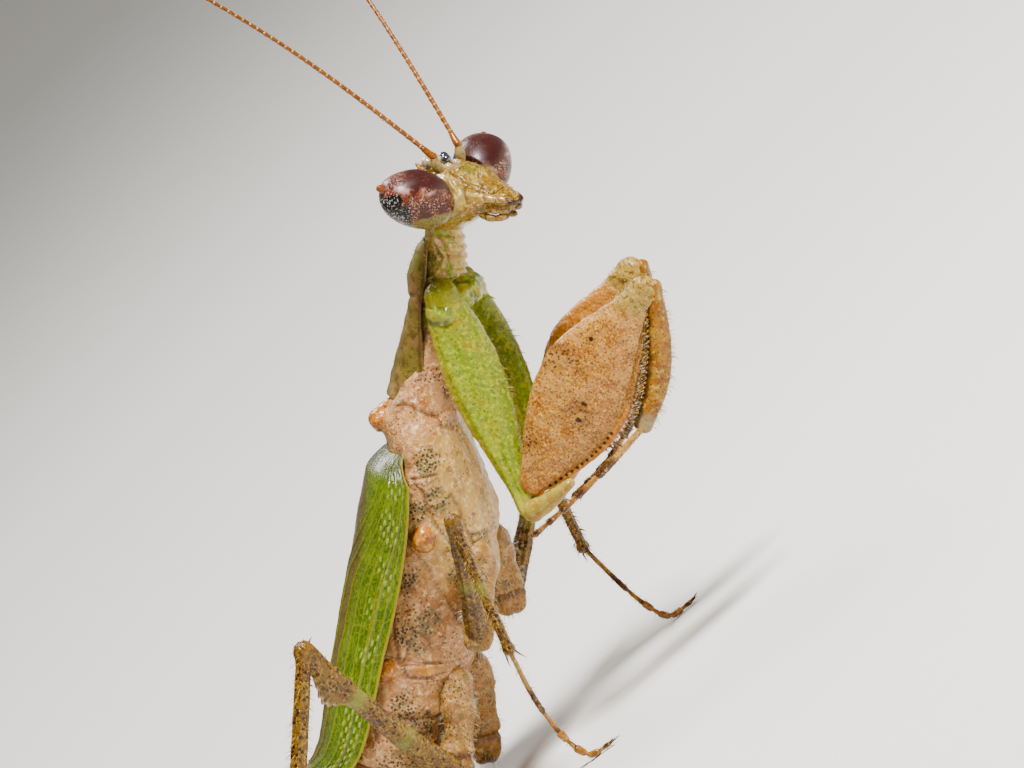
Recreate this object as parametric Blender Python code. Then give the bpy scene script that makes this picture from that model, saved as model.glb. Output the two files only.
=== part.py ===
# Praying mantis of the boxer kind, standing with its forelegs folded. Lengths are in millimetres
# until a mesh is made. The animal's own axes are right, ahead and up, from a point between the
# middle legs; the stance then tips the animal up, rolls it and sets its feet on the floor.
import math

import bmesh
import bpy
import numpy as np
from mathutils import Matrix, Vector

MM = 0.001
PART_GAP = 0.05          # clearance between neighbouring plates
ROUND = 10               # sides of a leg segment
SLIM = 8                 # sides of a foot or a feeler
THIN = 0.26              # half thickness of the slimmest pieces

# Stance
STANCE_PITCH = math.radians(44)
STANCE_ROLL = math.radians(8)
BODY_HEIGHT = 6.30       # body's origin above the floor
FOOT_RISE = 0.22         # centre line of a flat foot above the floor

# Trunk: (behind the shoulder, centre height, half width, rise above, depth below)
SHOULDER_AHEAD = 4.8
BEND_START = 9.6         # where the abdomen starts to curl up
BEND_RADIUS = 5.6
TRUNK_KEYS = (
    (0.0, 0.95, 1.20, 0.85, 0.95),
    (0.9, 0.70, 1.75, 1.05, 1.30),
    (1.8, 0.45, 2.00, 1.35, 1.60),
    (3.2, 0.30, 2.10, 1.65, 1.90),
    (4.6, 0.35, 2.10, 1.70, 2.00),
    (6.0, 0.50, 2.10, 1.70, 1.90),
    (7.3, 0.70, 2.20, 1.60, 1.80),
    (9.6, 0.85, 2.60, 1.60, 1.75),
    (11.2, 0.85, 2.65, 1.55, 1.70),
    (13.0, 0.85, 2.50, 1.45, 1.55),
    (14.8, 0.85, 2.10, 1.20, 1.30),
    (16.4, 0.85, 1.45, 0.85, 0.95),
    (17.4, 0.85, 0.80, 0.50, 0.55),
)
TRUNK_SPLITS = {"mesothorax": (0.0, 3.9), "metathorax": (3.9, 7.2),
                "abdomen_front": (7.2, 12.0), "abdomen_rear": (12.0, 17.4)}
SEGMENT_SWELL = 0.10     # how far the hind edge of each abdominal ring stands out
SEGMENT_LENGTH = 1.7

# Prothorax: (ahead, margin height, roof above it, half width, keel half width, keel depth)
PROTHORAX_KEYS = (
    (4.9, 0.85, 1.00, 0.95, 0.80, 0.85),
    (5.5, 0.85, 0.96, 0.86, 0.62, 0.72),
    (6.5, 0.95, 0.68, 0.78, 0.45, 0.75),
    (7.5, 1.00, 0.50, 0.98, 0.42, 0.85),
    (8.3, 0.95, 0.62, 0.94, 0.45, 0.92),
    (9.3, 0.98, 0.28, 0.66, 0.45, 0.90),
)
NECK_CUT_TOP = (9.2, 1.3)        # ahead and height of the slanted cut before the prothorax
NECK_CUT_LOW = (8.5, 0.0)

# Head, in its own axes: right, front, top, from a point between the simple eyes
HEAD_ORIGIN = (0.19, 11.62, 1.15)
HEAD_ROLL = math.radians(19.2)
HEAD_YAW = math.radians(8.4)
# (top, centre to the front, half width, front bulge, back bulge)
HEAD_KEYS = (
    (0.34, -0.92, 0.34, 0.34, 0.36),
    (0.14, -0.95, 0.80, 0.78, 0.72),
    (-0.30, -0.95, 1.08, 0.98, 0.92),
    (-0.90, -0.95, 1.15, 1.06, 0.96),
    (-1.50, -0.90, 0.98, 1.00, 0.84),
    (-2.00, -0.86, 0.76, 0.80, 0.62),
    (-2.40, -0.82, 0.60, 0.60, 0.50),
    (-2.80, -0.78, 0.46, 0.36, 0.42),
    (-3.08, -0.74, 0.26, 0.12, 0.26),
)
MOUTH_TOP = -2.38
EYE_PLANE = 0.95         # eye and head meet here, this far from the head's middle
EYE_CENTRE = (1.66, -0.50, -0.62)
EYE_TIP = (2.70, 0.02, 0.02)
EYE_HALF_LENGTH = 1.10
EYE_HALF_HEIGHT = 0.84
EYE_HALF_DEPTH = 0.82
ANTENNA_ROOT = (0.60, 0.38, -0.54)
ANTENNA_LENGTH = 10.0
ANTENNA_SPLAY = math.radians(18)
ANTENNA_LEAN = math.radians(56.6)    # from the face's normal towards the crown
ANTENNA_BOW = 0.35

# Wings
WING_START = 1.0
WING_END = 13.0
WING_THICK = 0.5
WING_LOW = math.radians(4)
WING_HIGH = math.radians(88)
TIP_START = 0.62         # share of the wing's length where its tip begins to round off
TIP_SPAN = 0.40

# Forelegs: one row of places for each side, as (right, ahead, up)
FORELEGS = {
    "right": {"coxa": ((1.05, 7.95, 0.35), (1.70, 2.41, -2.82)),
              "femur": ((1.80, 3.10, -2.93), (1.60, 9.15, -5.66)),
              "trochanter": ((1.74, 2.35, -3.05), (1.84, 2.95, -3.95)),
              "tibia": ((1.60, 9.22, -5.92), (1.65, 7.60, -6.26), (1.70, 6.34, -6.32), (1.80, 5.05, -6.14)),
              "tarsus": ((1.95, 4.80, -5.86), (2.30, 4.19, -5.24), (2.52, 3.04, -4.34), (2.52, 1.80, -3.25))},
    "left": {"coxa": ((1.05, 7.95, 0.35), (1.70, 2.36, -2.72)),
             "femur": ((1.78, 2.95, -2.70), (1.25, 8.95, -4.60)),
             "trochanter": ((1.74, 2.25, -2.90), (1.84, 2.70, -3.80)),
             "tibia": ((1.25, 9.05, -4.88), (1.30, 7.55, -5.34), (1.38, 6.30, -5.50), (1.50, 5.00, -5.42)),
             "tarsus": ((1.70, 4.72, -5.16), (2.15, 4.10, -4.70), (2.55, 2.95, -4.10), (2.60, 1.70, -3.15))},
}
COXA_WIDTH = (0.50, 0.84, 0.32)      # half widths at its root, fullest part and tip
COXA_THICK = 0.50
FEMUR_BACK = (0.40, 1.50, 0.42, 0.52)    # half widths at root, peak and knee, then where it peaks
FEMUR_FRONT = (0.36, 1.42, 0.42, 0.42)
FEMUR_THICK = 0.45
TIBIA_WIDTH = (0.26, 0.40, 0.34)
SEAT_SHARE = 0.55        # where the cut between trochanter and femur lies between their roots

# Walking legs: root, end of the coxa, knee, ankle, then the foot's places
WALKING_LEGS = {
    "mid_right": {"points": ((0.95, 0.60, -1.25), (1.90, -1.58, -1.72), (4.60, 2.42, -1.35),
                             (4.60, -1.01, -3.26)),
                  "foot": ((-5.10, -1.16, 2.45), (-5.20, -1.05, 1.05), (-5.28, -1.30, 0.27),
                           (-5.45, -2.05, FOOT_RISE)),
                  "femur": (0.34, 0.27), "tibia": THIN, "lobe": 0.10},
    "mid_left": {"points": ((-0.95, 0.60, -1.25), (-1.90, -1.45, -1.72), (-4.40, 2.73, -1.52),
                            (-4.30, -0.21, -3.20)),
                 "foot": ((3.66, -2.25, 1.80), (3.54, -2.45, 0.80), (3.52, -2.75, 0.27),
                          (3.60, -3.50, FOOT_RISE)),
                 "femur": (0.34, 0.27), "tibia": THIN, "lobe": 0.10},
    "hind_right": {"points": ((0.95, -3.30, -0.95), (1.62, -5.85, -1.42), (6.50, -1.39, 2.11),
                              (8.30, -9.06, 1.53)),
                   "foot": ((-9.55, 8.75, 1.05), (-9.80, 9.40, 0.40), (-10.00, 9.80, FOOT_RISE),
                            (-10.40, 10.70, FOOT_RISE)),
                   "femur": (0.42, 0.30), "tibia": THIN, "lobe": 0.50},
    "hind_left": {"points": ((-0.95, -3.30, -0.95), (-1.62, -5.85, -1.42), (-6.60, -1.80, 2.30),
                             (-8.53, -8.97, 3.24)),
                  "foot": ((8.45, 9.60, 0.62), (8.80, 10.15, 0.34), (9.05, 10.55, FOOT_RISE),
                           (9.50, 11.40, FOOT_RISE)),
                  "femur": (0.42, 0.30), "tibia": THIN, "lobe": 0.50},
}
CERCUS_LENGTH = 1.6
CERCUS_ROOT = 0.40       # from the middle of the tail


def clear_scene():
    for old in list(bpy.data.objects):
        bpy.data.objects.remove(old, do_unlink=True)


def finish(name, colour, roughness):
    # A plain surface: colour as red, green and blue from 0 to 1.
    material = bpy.data.materials.new(name)
    material.use_nodes = True
    shader = material.node_tree.nodes["Principled BSDF"]
    shader.inputs["Base Color"].default_value = (*colour, 1.0)
    shader.inputs["Roughness"].default_value = roughness
    shader.inputs["Metallic"].default_value = 0.0
    material.diffuse_color = (*colour, 1.0)
    return material


def to_floor(point):
    # From the animal's axes to the floor's: +Z up, the animal facing -Y.
    facing = Vector((-point[0], -point[1], point[2]))
    tipped = Matrix.Rotation(-STANCE_PITCH, 3, "X") @ facing
    return Matrix.Rotation(STANCE_ROLL, 3, "Y") @ tipped + Vector((0, 0, BODY_HEIGHT))


def head_to_animal(point):
    # From the head's axes (right, front, top) to the animal's.
    turned = Matrix.Rotation(HEAD_YAW, 3, "Z").inverted() @ Vector(point)
    return Matrix.Rotation(-HEAD_ROLL, 3, "Y") @ turned + Vector(HEAD_ORIGIN)


def smooth_keys(keys, value):
    # Values between the rows of a table of keys, eased from row to row.
    table = np.array(keys, dtype=float)
    if table[0, 0] > table[-1, 0]:
        table = table[::-1]
    row = int(np.clip(np.searchsorted(table[:, 0], value) - 1, 0, len(table) - 2))
    before, after = table[max(row - 1, 0)], table[min(row + 2, len(table) - 1)]
    low, high = table[row], table[row + 1]
    span = high[0] - low[0]
    t = float(np.clip((value - low[0]) / span, 0, 1))
    slope_low = (high - before)[1:] / max(high[0] - before[0], 1e-6) * span
    slope_high = (after - low)[1:] / max(after[0] - low[0], 1e-6) * span
    start, end = low[1:], high[1:]
    return ((2 * t**3 - 3 * t**2 + 1) * start + (t**3 - 2 * t**2 + t) * slope_low
            + (3 * t**2 - 2 * t**3) * end + (t**3 - t**2) * slope_high)


def smooth_route(points, steps):
    # Places along a smooth curve through the given points, evenly spread between its ends.
    spans = [(Vector(b) - Vector(a)).length for a, b in zip(points, points[1:])]
    marks = np.concatenate(([0.0], np.cumsum(spans)))
    keys = [(mark, *point) for mark, point in zip(marks, points)]
    return [Vector(smooth_keys(keys, marks[-1] * k / steps)) for k in range(steps + 1)]


def leaf_half(fraction, root, peak, tip, where):
    # Half width of a leaf-like plate at a fraction of its length.
    if fraction < where:
        return root + (peak - root) * math.sin(math.pi / 2 * fraction / where)
    return tip + (peak - tip) * math.cos(math.pi / 2 * (fraction - where) / (1 - where)) ** 1.7


def oval(centre, across, up, half_width, above, below, sides):
    ring = []
    for k in range(sides):
        angle = 2 * math.pi * (k + 0.5) / sides
        height = above if math.sin(angle) > 0 else below
        ring.append(centre + across * (half_width * math.cos(angle)) + up * (height * math.sin(angle)))
    return ring


def loft(rings):
    # One closed body through the rings, in the axes that the rings are given in.
    body = bmesh.new()
    loops = [[body.verts.new(point) for point in ring] for ring in rings]
    count = len(loops[0])
    for near, far in zip(loops, loops[1:]):
        for k in range(count):
            body.faces.new((near[k], near[(k + 1) % count], far[(k + 1) % count], far[k]))
    body.faces.new(loops[0][::-1])
    body.faces.new(loops[-1])
    bmesh.ops.recalc_face_normals(body, faces=body.faces)
    return body


def trim(body, place, outward):
    # Cuts away what lies beyond a plane and closes the cut.
    everything = body.verts[:] + body.edges[:] + body.faces[:]
    cut = bmesh.ops.bisect_plane(body, geom=everything, dist=1e-5, plane_co=Vector(place),
                                 plane_no=Vector(outward).normalized(), clear_outer=True)
    rim = [part for part in cut["geom_cut"] if isinstance(part, bmesh.types.BMEdge) and part.is_boundary]
    if rim:
        bmesh.ops.edgeloop_fill(body, edges=rim)
    bmesh.ops.recalc_face_normals(body, faces=body.faces)


def trim_between(first, second, place, direction):
    # Parts two bodies at a plane, with half the gap taken from each.
    direction = Vector(direction).normalized()
    half = direction * (PART_GAP / 2)
    if first:
        trim(first, Vector(place) - half, direction)
    if second:
        trim(second, Vector(place) + half, -direction)


def as_object(name, body, material, place=to_floor):
    for vert in body.verts:
        vert.co = place(vert.co) * MM
    bmesh.ops.recalc_face_normals(body, faces=body.faces)
    if body.calc_volume(signed=True) < 0:
        bmesh.ops.reverse_faces(body, faces=body.faces)
    mesh = bpy.data.meshes.new(name)
    body.to_mesh(mesh)
    body.free()
    mesh.shade_smooth()
    mesh.set_sharp_from_angle(angle=math.radians(40))
    mesh.materials.append(material)
    made = bpy.data.objects.new(name, mesh)
    bpy.context.collection.objects.link(made)
    return made


def sweep(route, size, wide, sides=ROUND):
    # A tube along a route; size(fraction) gives half width, rise and depth, wide the width's direction.
    rings = []
    last = len(route) - 1
    for k, point in enumerate(route):
        ahead = (route[min(k + 1, last)] - route[max(k - 1, 0)]).normalized()
        across = (Vector(wide) - ahead * ahead.dot(Vector(wide))).normalized()
        up = across.cross(ahead)
        half_width, above, below = size(k / last)
        rings.append(oval(point, across, up, half_width, above, below, sides))
    return loft(rings)


def limb(start, end, size, wide, steps=5, sides=ROUND, bow=(0, 0, 0)):
    # A straight or bowed segment whose ends are rounded off past the joints.
    start, end = Vector(start), Vector(end)
    axis = (end - start).normalized()
    length = (end - start).length
    first, last = size(0.0), size(1.0)
    stations = [(-0.9 * first[1], 0.0, 0.45), (-0.5 * first[1], 0.0, 0.87)]
    stations += [(length * k / steps, k / steps, 1.0) for k in range(steps + 1)]
    stations += [(length + 0.5 * last[1], 1.0, 0.87), (length + 0.9 * last[1], 1.0, 0.45)]
    across = (Vector(wide) - axis * axis.dot(Vector(wide))).normalized()
    up = across.cross(axis)
    rings = []
    for along, fraction, scale in stations:
        centre = start + axis * along + Vector(bow) * math.sin(math.pi * fraction)
        half_width, above, below = (scale * value for value in size(fraction))
        rings.append(oval(centre, across, up, half_width, above, below, sides))
    return loft(rings)


def spine(behind):
    # Centre line of the trunk: straight to the bend, then curling up. Gives place, forward and up.
    turn = max(0.0, behind - BEND_START) / BEND_RADIUS
    straight = min(behind, BEND_START)
    ahead = SHOULDER_AHEAD - straight - BEND_RADIUS * math.sin(turn)
    lift = BEND_RADIUS * (1 - math.cos(turn))
    return Vector((0, ahead, lift)), Vector((0, math.cos(turn), -math.sin(turn))), \
        Vector((0, math.sin(turn), math.cos(turn)))


def ring_swell(behind):
    # Each abdominal ring is fullest just before its hind edge.
    if behind < TRUNK_SPLITS["abdomen_front"][0]:
        return 0.0
    step = (behind - TRUNK_SPLITS["abdomen_front"][0]) / SEGMENT_LENGTH % 1.0
    return SEGMENT_SWELL * step * min(1.0, 4 * (1 - step))


def trunk_ring(behind, grow=0.0, sides=18):
    place, _, up = spine(behind)
    height, half_width, above, below = smooth_keys(TRUNK_KEYS, behind)
    swell = ring_swell(behind) + grow
    centre = place + up * height
    return oval(centre, Vector((1, 0, 0)), up, half_width + swell, above + grow, below + swell, sides)


def make_trunk(materials):
    # Two rings of the body behind the prothorax, and the abdomen in two lengths.
    for name, (start, end) in TRUNK_SPLITS.items():
        start += PART_GAP / 2 if start else 0.0
        end -= PART_GAP / 2
        steps = max(4, round((end - start) / 0.75))
        rings = [trunk_ring(start + (end - start) * k / steps) for k in range(steps + 1)]
        as_object(name, loft(rings), materials["trunk"])


def trunk_cutter():
    # A slightly larger trunk that keeps the hips clear of it.
    stations = np.arange(0.0, TRUNK_KEYS[-1][0] + 0.01, 0.6)
    cutter = as_object("cutter_trunk", loft([trunk_ring(s, PART_GAP) for s in stations]), None)
    return hide_cutter(cutter)


def hide_cutter(cutter):
    cutter.hide_render = True
    cutter.display_type = "WIRE"
    return cutter


def prothorax_ring(ahead, grow=0.0):
    margin, roof, half_width, keel, depth = smooth_keys(PROTHORAX_KEYS, ahead)
    ring = []
    for k in range(16):
        angle = 2 * math.pi * (k + 0.5) / 16
        upper = math.sin(angle) > 0
        reach = (half_width if upper else keel) + grow
        rise = (roof if upper else depth) + grow
        ring.append(Vector((reach * math.cos(angle), ahead, margin + rise * math.sin(angle))))
    return ring


def neck_cut():
    # Middle and direction of the slanted cut between neck and prothorax.
    top, low = Vector((0, *NECK_CUT_TOP)), Vector((0, *NECK_CUT_LOW))
    return (top + low) / 2, Vector((1, 0, 0)).cross(top - low).normalized() * -1


def make_prothorax_and_neck(materials):
    stations = np.linspace(PROTHORAX_KEYS[0][0], PROTHORAX_KEYS[-1][0], 10)
    prothorax = loft([prothorax_ring(a) for a in stations])
    place, outward = neck_cut()
    neck_route = smooth_route(((0, 7.9, 0.42), (0, 8.8, 0.55), (0, 9.75, 0.66)), 5)
    neck = sweep(neck_route, lambda t: (0.56, 0.58, 0.56), (1, 0, 0), 12)
    trim_between(prothorax, neck, place, outward)
    back = head_to_animal((0, -1.92, -0.5))
    facing = head_to_animal((0, -0.92, -0.5)) - back
    trim(neck, back - facing.normalized() * PART_GAP, facing)
    as_object("prothorax", prothorax, materials["shield"])
    as_object("neck", neck, materials["throat"])
    cutter = as_object("cutter_prothorax", loft([prothorax_ring(a, PART_GAP) for a in stations]), None)
    return hide_cutter(cutter)


def make_head(materials):
    # Head capsule and mouthparts are one loft from crown to mouth, parted above the mouth.
    def ring(top):
        centre, half_width, front, back = smooth_keys(HEAD_KEYS, top)
        middle = Vector((0, centre, top))
        return oval(middle, Vector((1, 0, 0)), Vector((0, 1, 0)), half_width, front, back, 16)
    skull = loft([ring(top) for top in np.linspace(HEAD_KEYS[0][0], MOUTH_TOP, 11)])
    for side in (1, -1):
        trim(skull, (side * (EYE_PLANE - PART_GAP / 2), 0, 0), (side, 0, 0))
    trim(skull, (0, -1.88, 0), (0, -1, 0))
    mouth = loft([ring(top) for top in np.linspace(MOUTH_TOP - PART_GAP, HEAD_KEYS[-1][0], 5)])
    as_object("head", skull, materials["head"], head_to_floor)
    as_object("mouthparts", mouth, materials["head"], head_to_floor)


def head_to_floor(point):
    return to_floor(head_to_animal(point))


def make_eye(side, name, material):
    # A blunt oval with a small point at its upper outer corner.
    middle, tip = Vector(EYE_CENTRE), Vector(EYE_TIP)
    towards = (tip - middle).normalized()
    deep = Vector((0, 1, 0))
    deep = (deep - towards * towards.dot(deep)).normalized()
    high = towards.cross(deep)
    rings = []
    bands = 9
    for k in range(bands + 1):
        polar = math.pi * (0.06 + 0.90 * k / bands)
        along = -math.cos(polar) * EYE_HALF_LENGTH
        round_off = math.sin(polar) ** 0.85
        rings.append(oval(middle + towards * along, deep, high, EYE_HALF_DEPTH * round_off,
                          EYE_HALF_HEIGHT * round_off, EYE_HALF_HEIGHT * round_off, 14))
    rings.append(oval(tip - towards * 0.04, deep, high, 0.07, 0.07, 0.07, 14))
    body = loft(rings)
    trim(body, (EYE_PLANE + PART_GAP / 2, 0, 0), (-1, 0, 0))
    as_object(name, body, material, lambda p: head_to_floor((side * p[0], p[1], p[2])))


def antenna_direction(side):
    lean = Vector((0, math.cos(ANTENNA_LEAN), math.sin(ANTENNA_LEAN)))
    return lean * math.cos(ANTENNA_SPLAY) + Vector((side, 0, 0)) * math.sin(ANTENNA_SPLAY)


def make_antenna(side, name, material):
    root = Vector((side * ANTENNA_ROOT[0], *ANTENNA_ROOT[1:]))
    way = antenna_direction(side)
    arch = Vector((0, 1, 0)) * ANTENNA_BOW
    route = []
    for k in range(11):
        fraction = k / 10
        route.append(root + way * (ANTENNA_LENGTH * fraction) + arch * math.sin(math.pi * fraction))
    body = sweep(route, lambda t: (THIN, THIN, THIN), (1, 0, 0), SLIM)
    as_object(name, body, material, head_to_floor)


def make_wing(side, name, material):
    # A curved plate that follows the back, its outer edge on the flank and its tip rounded.
    rings = []
    stations = 12
    for k in range(stations + 1):
        fraction = k / stations
        behind = WING_START + (WING_END - WING_START) * fraction
        place, _, up = spine(behind)
        height, half_width, above, _ = smooth_keys(TRUNK_KEYS, behind)
        centre = place + up * height
        spread = math.sqrt(max(0.0, 1 - (max(0.0, fraction - TIP_START) / TIP_SPAN) ** 2))
        shoulder = min(1.0, 0.45 + fraction * 5)
        low = WING_HIGH - (WING_HIGH - WING_LOW) * spread * shoulder
        angles = [low + (WING_HIGH - low) * step / 5 for step in range(6)]
        under, over = [], []
        for angle in angles:
            for line, lift in ((under, PART_GAP * 1.6), (over, PART_GAP * 1.6 + WING_THICK)):
                reach = Vector((side * (half_width + lift + SEGMENT_SWELL) * math.cos(angle), 0, 0))
                line.append(centre + reach + up * ((above + lift) * math.sin(angle)))
        rings.append(under + over[::-1])
    body = loft(rings)
    trim(body, (side * PART_GAP / 2, 0, 0), (-side, 0, 0))
    as_object(name, body, material)


def cut_with(target, cutter):
    cut = target.modifiers.new("clear_of_body", "BOOLEAN")
    cut.operation = "DIFFERENCE"
    cut.solver = "EXACT"
    cut.object = cutter


def joint_direction(before, joint, after):
    # Normal of the plane that parts two segments evenly at their joint.
    one = (Vector(joint) - Vector(before)).normalized()
    two = (Vector(after) - Vector(joint)).normalized()
    return (one + two).normalized()


def make_foreleg(side_name, materials, cutter):
    places = FORELEGS[side_name]
    side = 1 if side_name == "right" else -1

    def spot(point):
        return Vector((side * point[0], point[1], point[2]))
    outward = Vector((side * 0.95, 0.2, -0.2)).normalized()
    coxa_start, coxa_end = (spot(p) for p in places["coxa"])
    femur_start, knee = (spot(p) for p in places["femur"])

    def coxa_size(t):
        width = leaf_half(t, *COXA_WIDTH, 0.36)
        return (COXA_THICK * (1 - 0.4 * t), width, width)

    def femur_size(t):
        back, front = leaf_half(t, *FEMUR_BACK), leaf_half(t, *FEMUR_FRONT)
        thick = FEMUR_THICK * (0.62 + 0.38 * math.sin(math.pi * t))
        return (thick, front, back) if side > 0 else (thick, back, front)
    coxa = limb(coxa_start, coxa_end, coxa_size, outward, 7, 12)
    femur = limb(femur_start, knee, femur_size, outward, 9, 14)
    trochanter_ends = [spot(p) for p in places["trochanter"]]
    trochanter = limb(*trochanter_ends, lambda t: (0.36, 0.34, 0.34), outward, 3)
    tibia_route = smooth_route([spot(p) for p in places["tibia"]], 7)
    tibia = sweep(tibia_route, lambda t: (THIN, *[leaf_half(t, *TIBIA_WIDTH, 0.6)] * 2), outward)
    tarsus_route = smooth_route([spot(p) for p in places["tarsus"]], 7)
    tarsus = sweep(tarsus_route, lambda t: (THIN, THIN, THIN), outward, SLIM)

    leg_line = (trochanter_ends[1] - trochanter_ends[0]).normalized()
    seat = outward.cross(leg_line).normalized()
    seat *= math.copysign(1.0, seat.dot(femur_start - trochanter_ends[0]))
    trim_between(trochanter, femur, trochanter_ends[0].lerp(femur_start, SEAT_SHARE), seat)
    for piece, far_end in ((trochanter, trochanter_ends[1]), (femur, knee)):
        fold = coxa_end.lerp(trochanter_ends[0], 0.4)
        trim_between(coxa, piece, fold, (far_end - fold).normalized() - (coxa_start - fold).normalized())
    knee_line = (knee - femur_start).normalized()
    side_line = (tibia_route[2] - knee)
    side_line = (side_line - knee_line * side_line.dot(knee_line)).normalized()
    trim_between(femur, tibia, knee.lerp(tibia_route[0], 0.5), side_line * 0.95 + knee_line * 0.3)
    shin_end = tibia_route[-1]
    trim_between(tibia, tarsus, shin_end.lerp(spot(places["tarsus"][0]), 0.5),
                 spot(places["tarsus"][1]) - tibia_route[-2])
    hip = as_object("fore_coxa_" + side_name, coxa, materials["hip"])
    cut_with(hip, cutter)
    as_object("fore_trochanter_" + side_name, trochanter, materials["throat"])
    as_object("fore_femur_" + side_name, femur, materials["plate"])
    as_object("fore_tibia_" + side_name, tibia, materials["plate"])
    as_object("fore_tarsus_" + side_name, tarsus, materials["foot"])


def from_floor(point):
    # The reverse of to_floor, for feet whose places are given on the floor.
    lowered = Vector(point) - Vector((0, 0, BODY_HEIGHT))
    level = Matrix.Rotation(-STANCE_ROLL, 3, "Y") @ lowered
    facing = Matrix.Rotation(STANCE_PITCH, 3, "X") @ level
    return Vector((-facing[0], -facing[1], facing[2]))


def make_walking_leg(name, leg, materials, cutter):
    root, hip, knee, ankle = (Vector(point) for point in leg["points"])
    foot = [from_floor(point) for point in leg["foot"]]
    thick, slim = leg["femur"]
    sideways = (hip - root).cross(knee - hip).normalized()

    def femur_size(t):
        half = thick + (slim - thick) * t
        lobe = leg["lobe"] * max(0.0, 1 - abs(t - 0.76) / 0.17) ** 0.6
        return (half * 0.9, half + lobe, half)
    femur_plane = (knee - hip).cross(ankle - knee).normalized()
    coxa = limb(root, hip, lambda t: (0.52 - 0.10 * t, 0.55 - 0.13 * t, 0.55 - 0.13 * t), sideways, 4)
    femur = limb(hip, knee, femur_size, femur_plane, 12 if leg["lobe"] > 0.2 else 6)
    tibia = limb(knee, ankle, lambda t: (leg["tibia"],) * 3, femur_plane, 5)
    foot_route = smooth_route([ankle, *foot], 9)
    foot_route[0] = ankle.lerp(foot_route[1], -0.3)
    tarsus = sweep(foot_route, lambda t: (THIN, THIN, THIN), femur_plane, SLIM)

    trim_between(coxa, femur, hip, joint_direction(root, hip, knee))
    trim_between(femur, tibia, knee, joint_direction(hip, knee, ankle))
    trim_between(tibia, tarsus, ankle, joint_direction(knee, ankle, foot_route[2]))
    down = from_floor((0, 0, -1)) - from_floor((0, 0, 0))
    trim(tarsus, from_floor((0, 0, 0)), down)
    pair, side = name.split("_")
    upper = as_object(f"{pair}_coxa_{side}", coxa, materials["trunk"])
    cut_with(upper, cutter)
    as_object(f"{pair}_femur_{side}", femur, materials["leg"])
    as_object(f"{pair}_tibia_{side}", tibia, materials["leg"])
    as_object(f"{pair}_tarsus_{side}", tarsus, materials["foot"])


def make_cercus(side, name, material):
    place, forward, up = spine(TRUNK_KEYS[-1][0])
    centre = place + up * TRUNK_KEYS[-1][1]
    start = centre + Vector((side * CERCUS_ROOT, 0, 0)) + up * 0.12
    way = (-forward + Vector((side * 0.45, 0, 0)) + up * 0.25).normalized()
    body = limb(start, start + way * CERCUS_LENGTH, lambda t: (THIN, THIN, THIN), (1, 0, 0), 4, SLIM)
    trim(body, place - forward * PART_GAP / 2, forward)
    as_object(name, body, material)


def set_on_floor():
    # The origin is under the middle of the whole animal, at the floor.
    corners = []
    made = [thing for thing in bpy.data.objects if not thing.hide_render]
    for thing in made:
        corners += [vert.co for vert in thing.data.vertices]
    low = Vector(min(corner[axis] for corner in corners) for axis in range(3))
    high = Vector(max(corner[axis] for corner in corners) for axis in range(3))
    shift = Matrix.Translation(Vector((-(low.x + high.x) / 2, -(low.y + high.y) / 2, -low.z)))
    for thing in bpy.data.objects:
        thing.data.transform(shift)


def main():
    clear_scene()
    materials = {
        "trunk": finish("speckled_pale_cuticle", (0.62, 0.42, 0.28), 0.55),
        "shield": finish("olive_brown_cuticle", (0.26, 0.22, 0.11), 0.55),
        "throat": finish("soft_straw_membrane", (0.62, 0.52, 0.28), 0.60),
        "head": finish("straw_head_cuticle", (0.52, 0.38, 0.17), 0.45),
        "eye": finish("dark_maroon_eye", (0.16, 0.02, 0.02), 0.25),
        "feeler": finish("orange_brown_feeler", (0.42, 0.16, 0.04), 0.45),
        "wing": finish("leaf_green_wing", (0.20, 0.32, 0.01), 0.30),
        "hip": finish("yellow_green_cuticle", (0.40, 0.46, 0.04), 0.45),
        "plate": finish("salmon_tan_cuticle", (0.58, 0.27, 0.11), 0.45),
        "leg": finish("dotted_straw_cuticle", (0.45, 0.31, 0.10), 0.50),
        "foot": finish("amber_foot_cuticle", (0.38, 0.18, 0.04), 0.40),
    }
    make_trunk(materials)
    trunk_clear = trunk_cutter()
    prothorax_clear = make_prothorax_and_neck(materials)
    make_head(materials)
    for side, side_name in ((1, "right"), (-1, "left")):
        make_eye(side, "eye_" + side_name, materials["eye"])
        make_antenna(side, "antenna_" + side_name, materials["feeler"])
        make_wing(side, "forewing_" + side_name, materials["wing"])
        make_cercus(side, "cercus_" + side_name, materials["leg"])
        make_foreleg(side_name, materials, prothorax_clear)
    for name, leg in WALKING_LEGS.items():
        make_walking_leg(name, leg, materials, trunk_clear)
    set_on_floor()


main()
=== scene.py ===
import math
import bpy
import numpy as np
from mathutils import Matrix, Vector


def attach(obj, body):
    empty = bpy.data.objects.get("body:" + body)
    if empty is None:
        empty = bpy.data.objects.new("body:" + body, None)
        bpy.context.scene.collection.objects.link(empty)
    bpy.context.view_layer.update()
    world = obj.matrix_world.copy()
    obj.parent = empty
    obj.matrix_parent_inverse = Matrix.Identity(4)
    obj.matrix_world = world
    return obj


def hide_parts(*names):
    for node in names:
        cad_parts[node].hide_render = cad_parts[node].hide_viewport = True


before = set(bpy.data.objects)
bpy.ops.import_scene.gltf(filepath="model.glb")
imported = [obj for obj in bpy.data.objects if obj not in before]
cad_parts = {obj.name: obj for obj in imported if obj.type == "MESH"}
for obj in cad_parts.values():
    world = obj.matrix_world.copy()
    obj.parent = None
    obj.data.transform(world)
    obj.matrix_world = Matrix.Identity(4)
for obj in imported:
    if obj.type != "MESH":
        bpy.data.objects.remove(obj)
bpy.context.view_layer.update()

mm = 0.001
bothSides = ((1, "right"), (-1, "left"))

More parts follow.
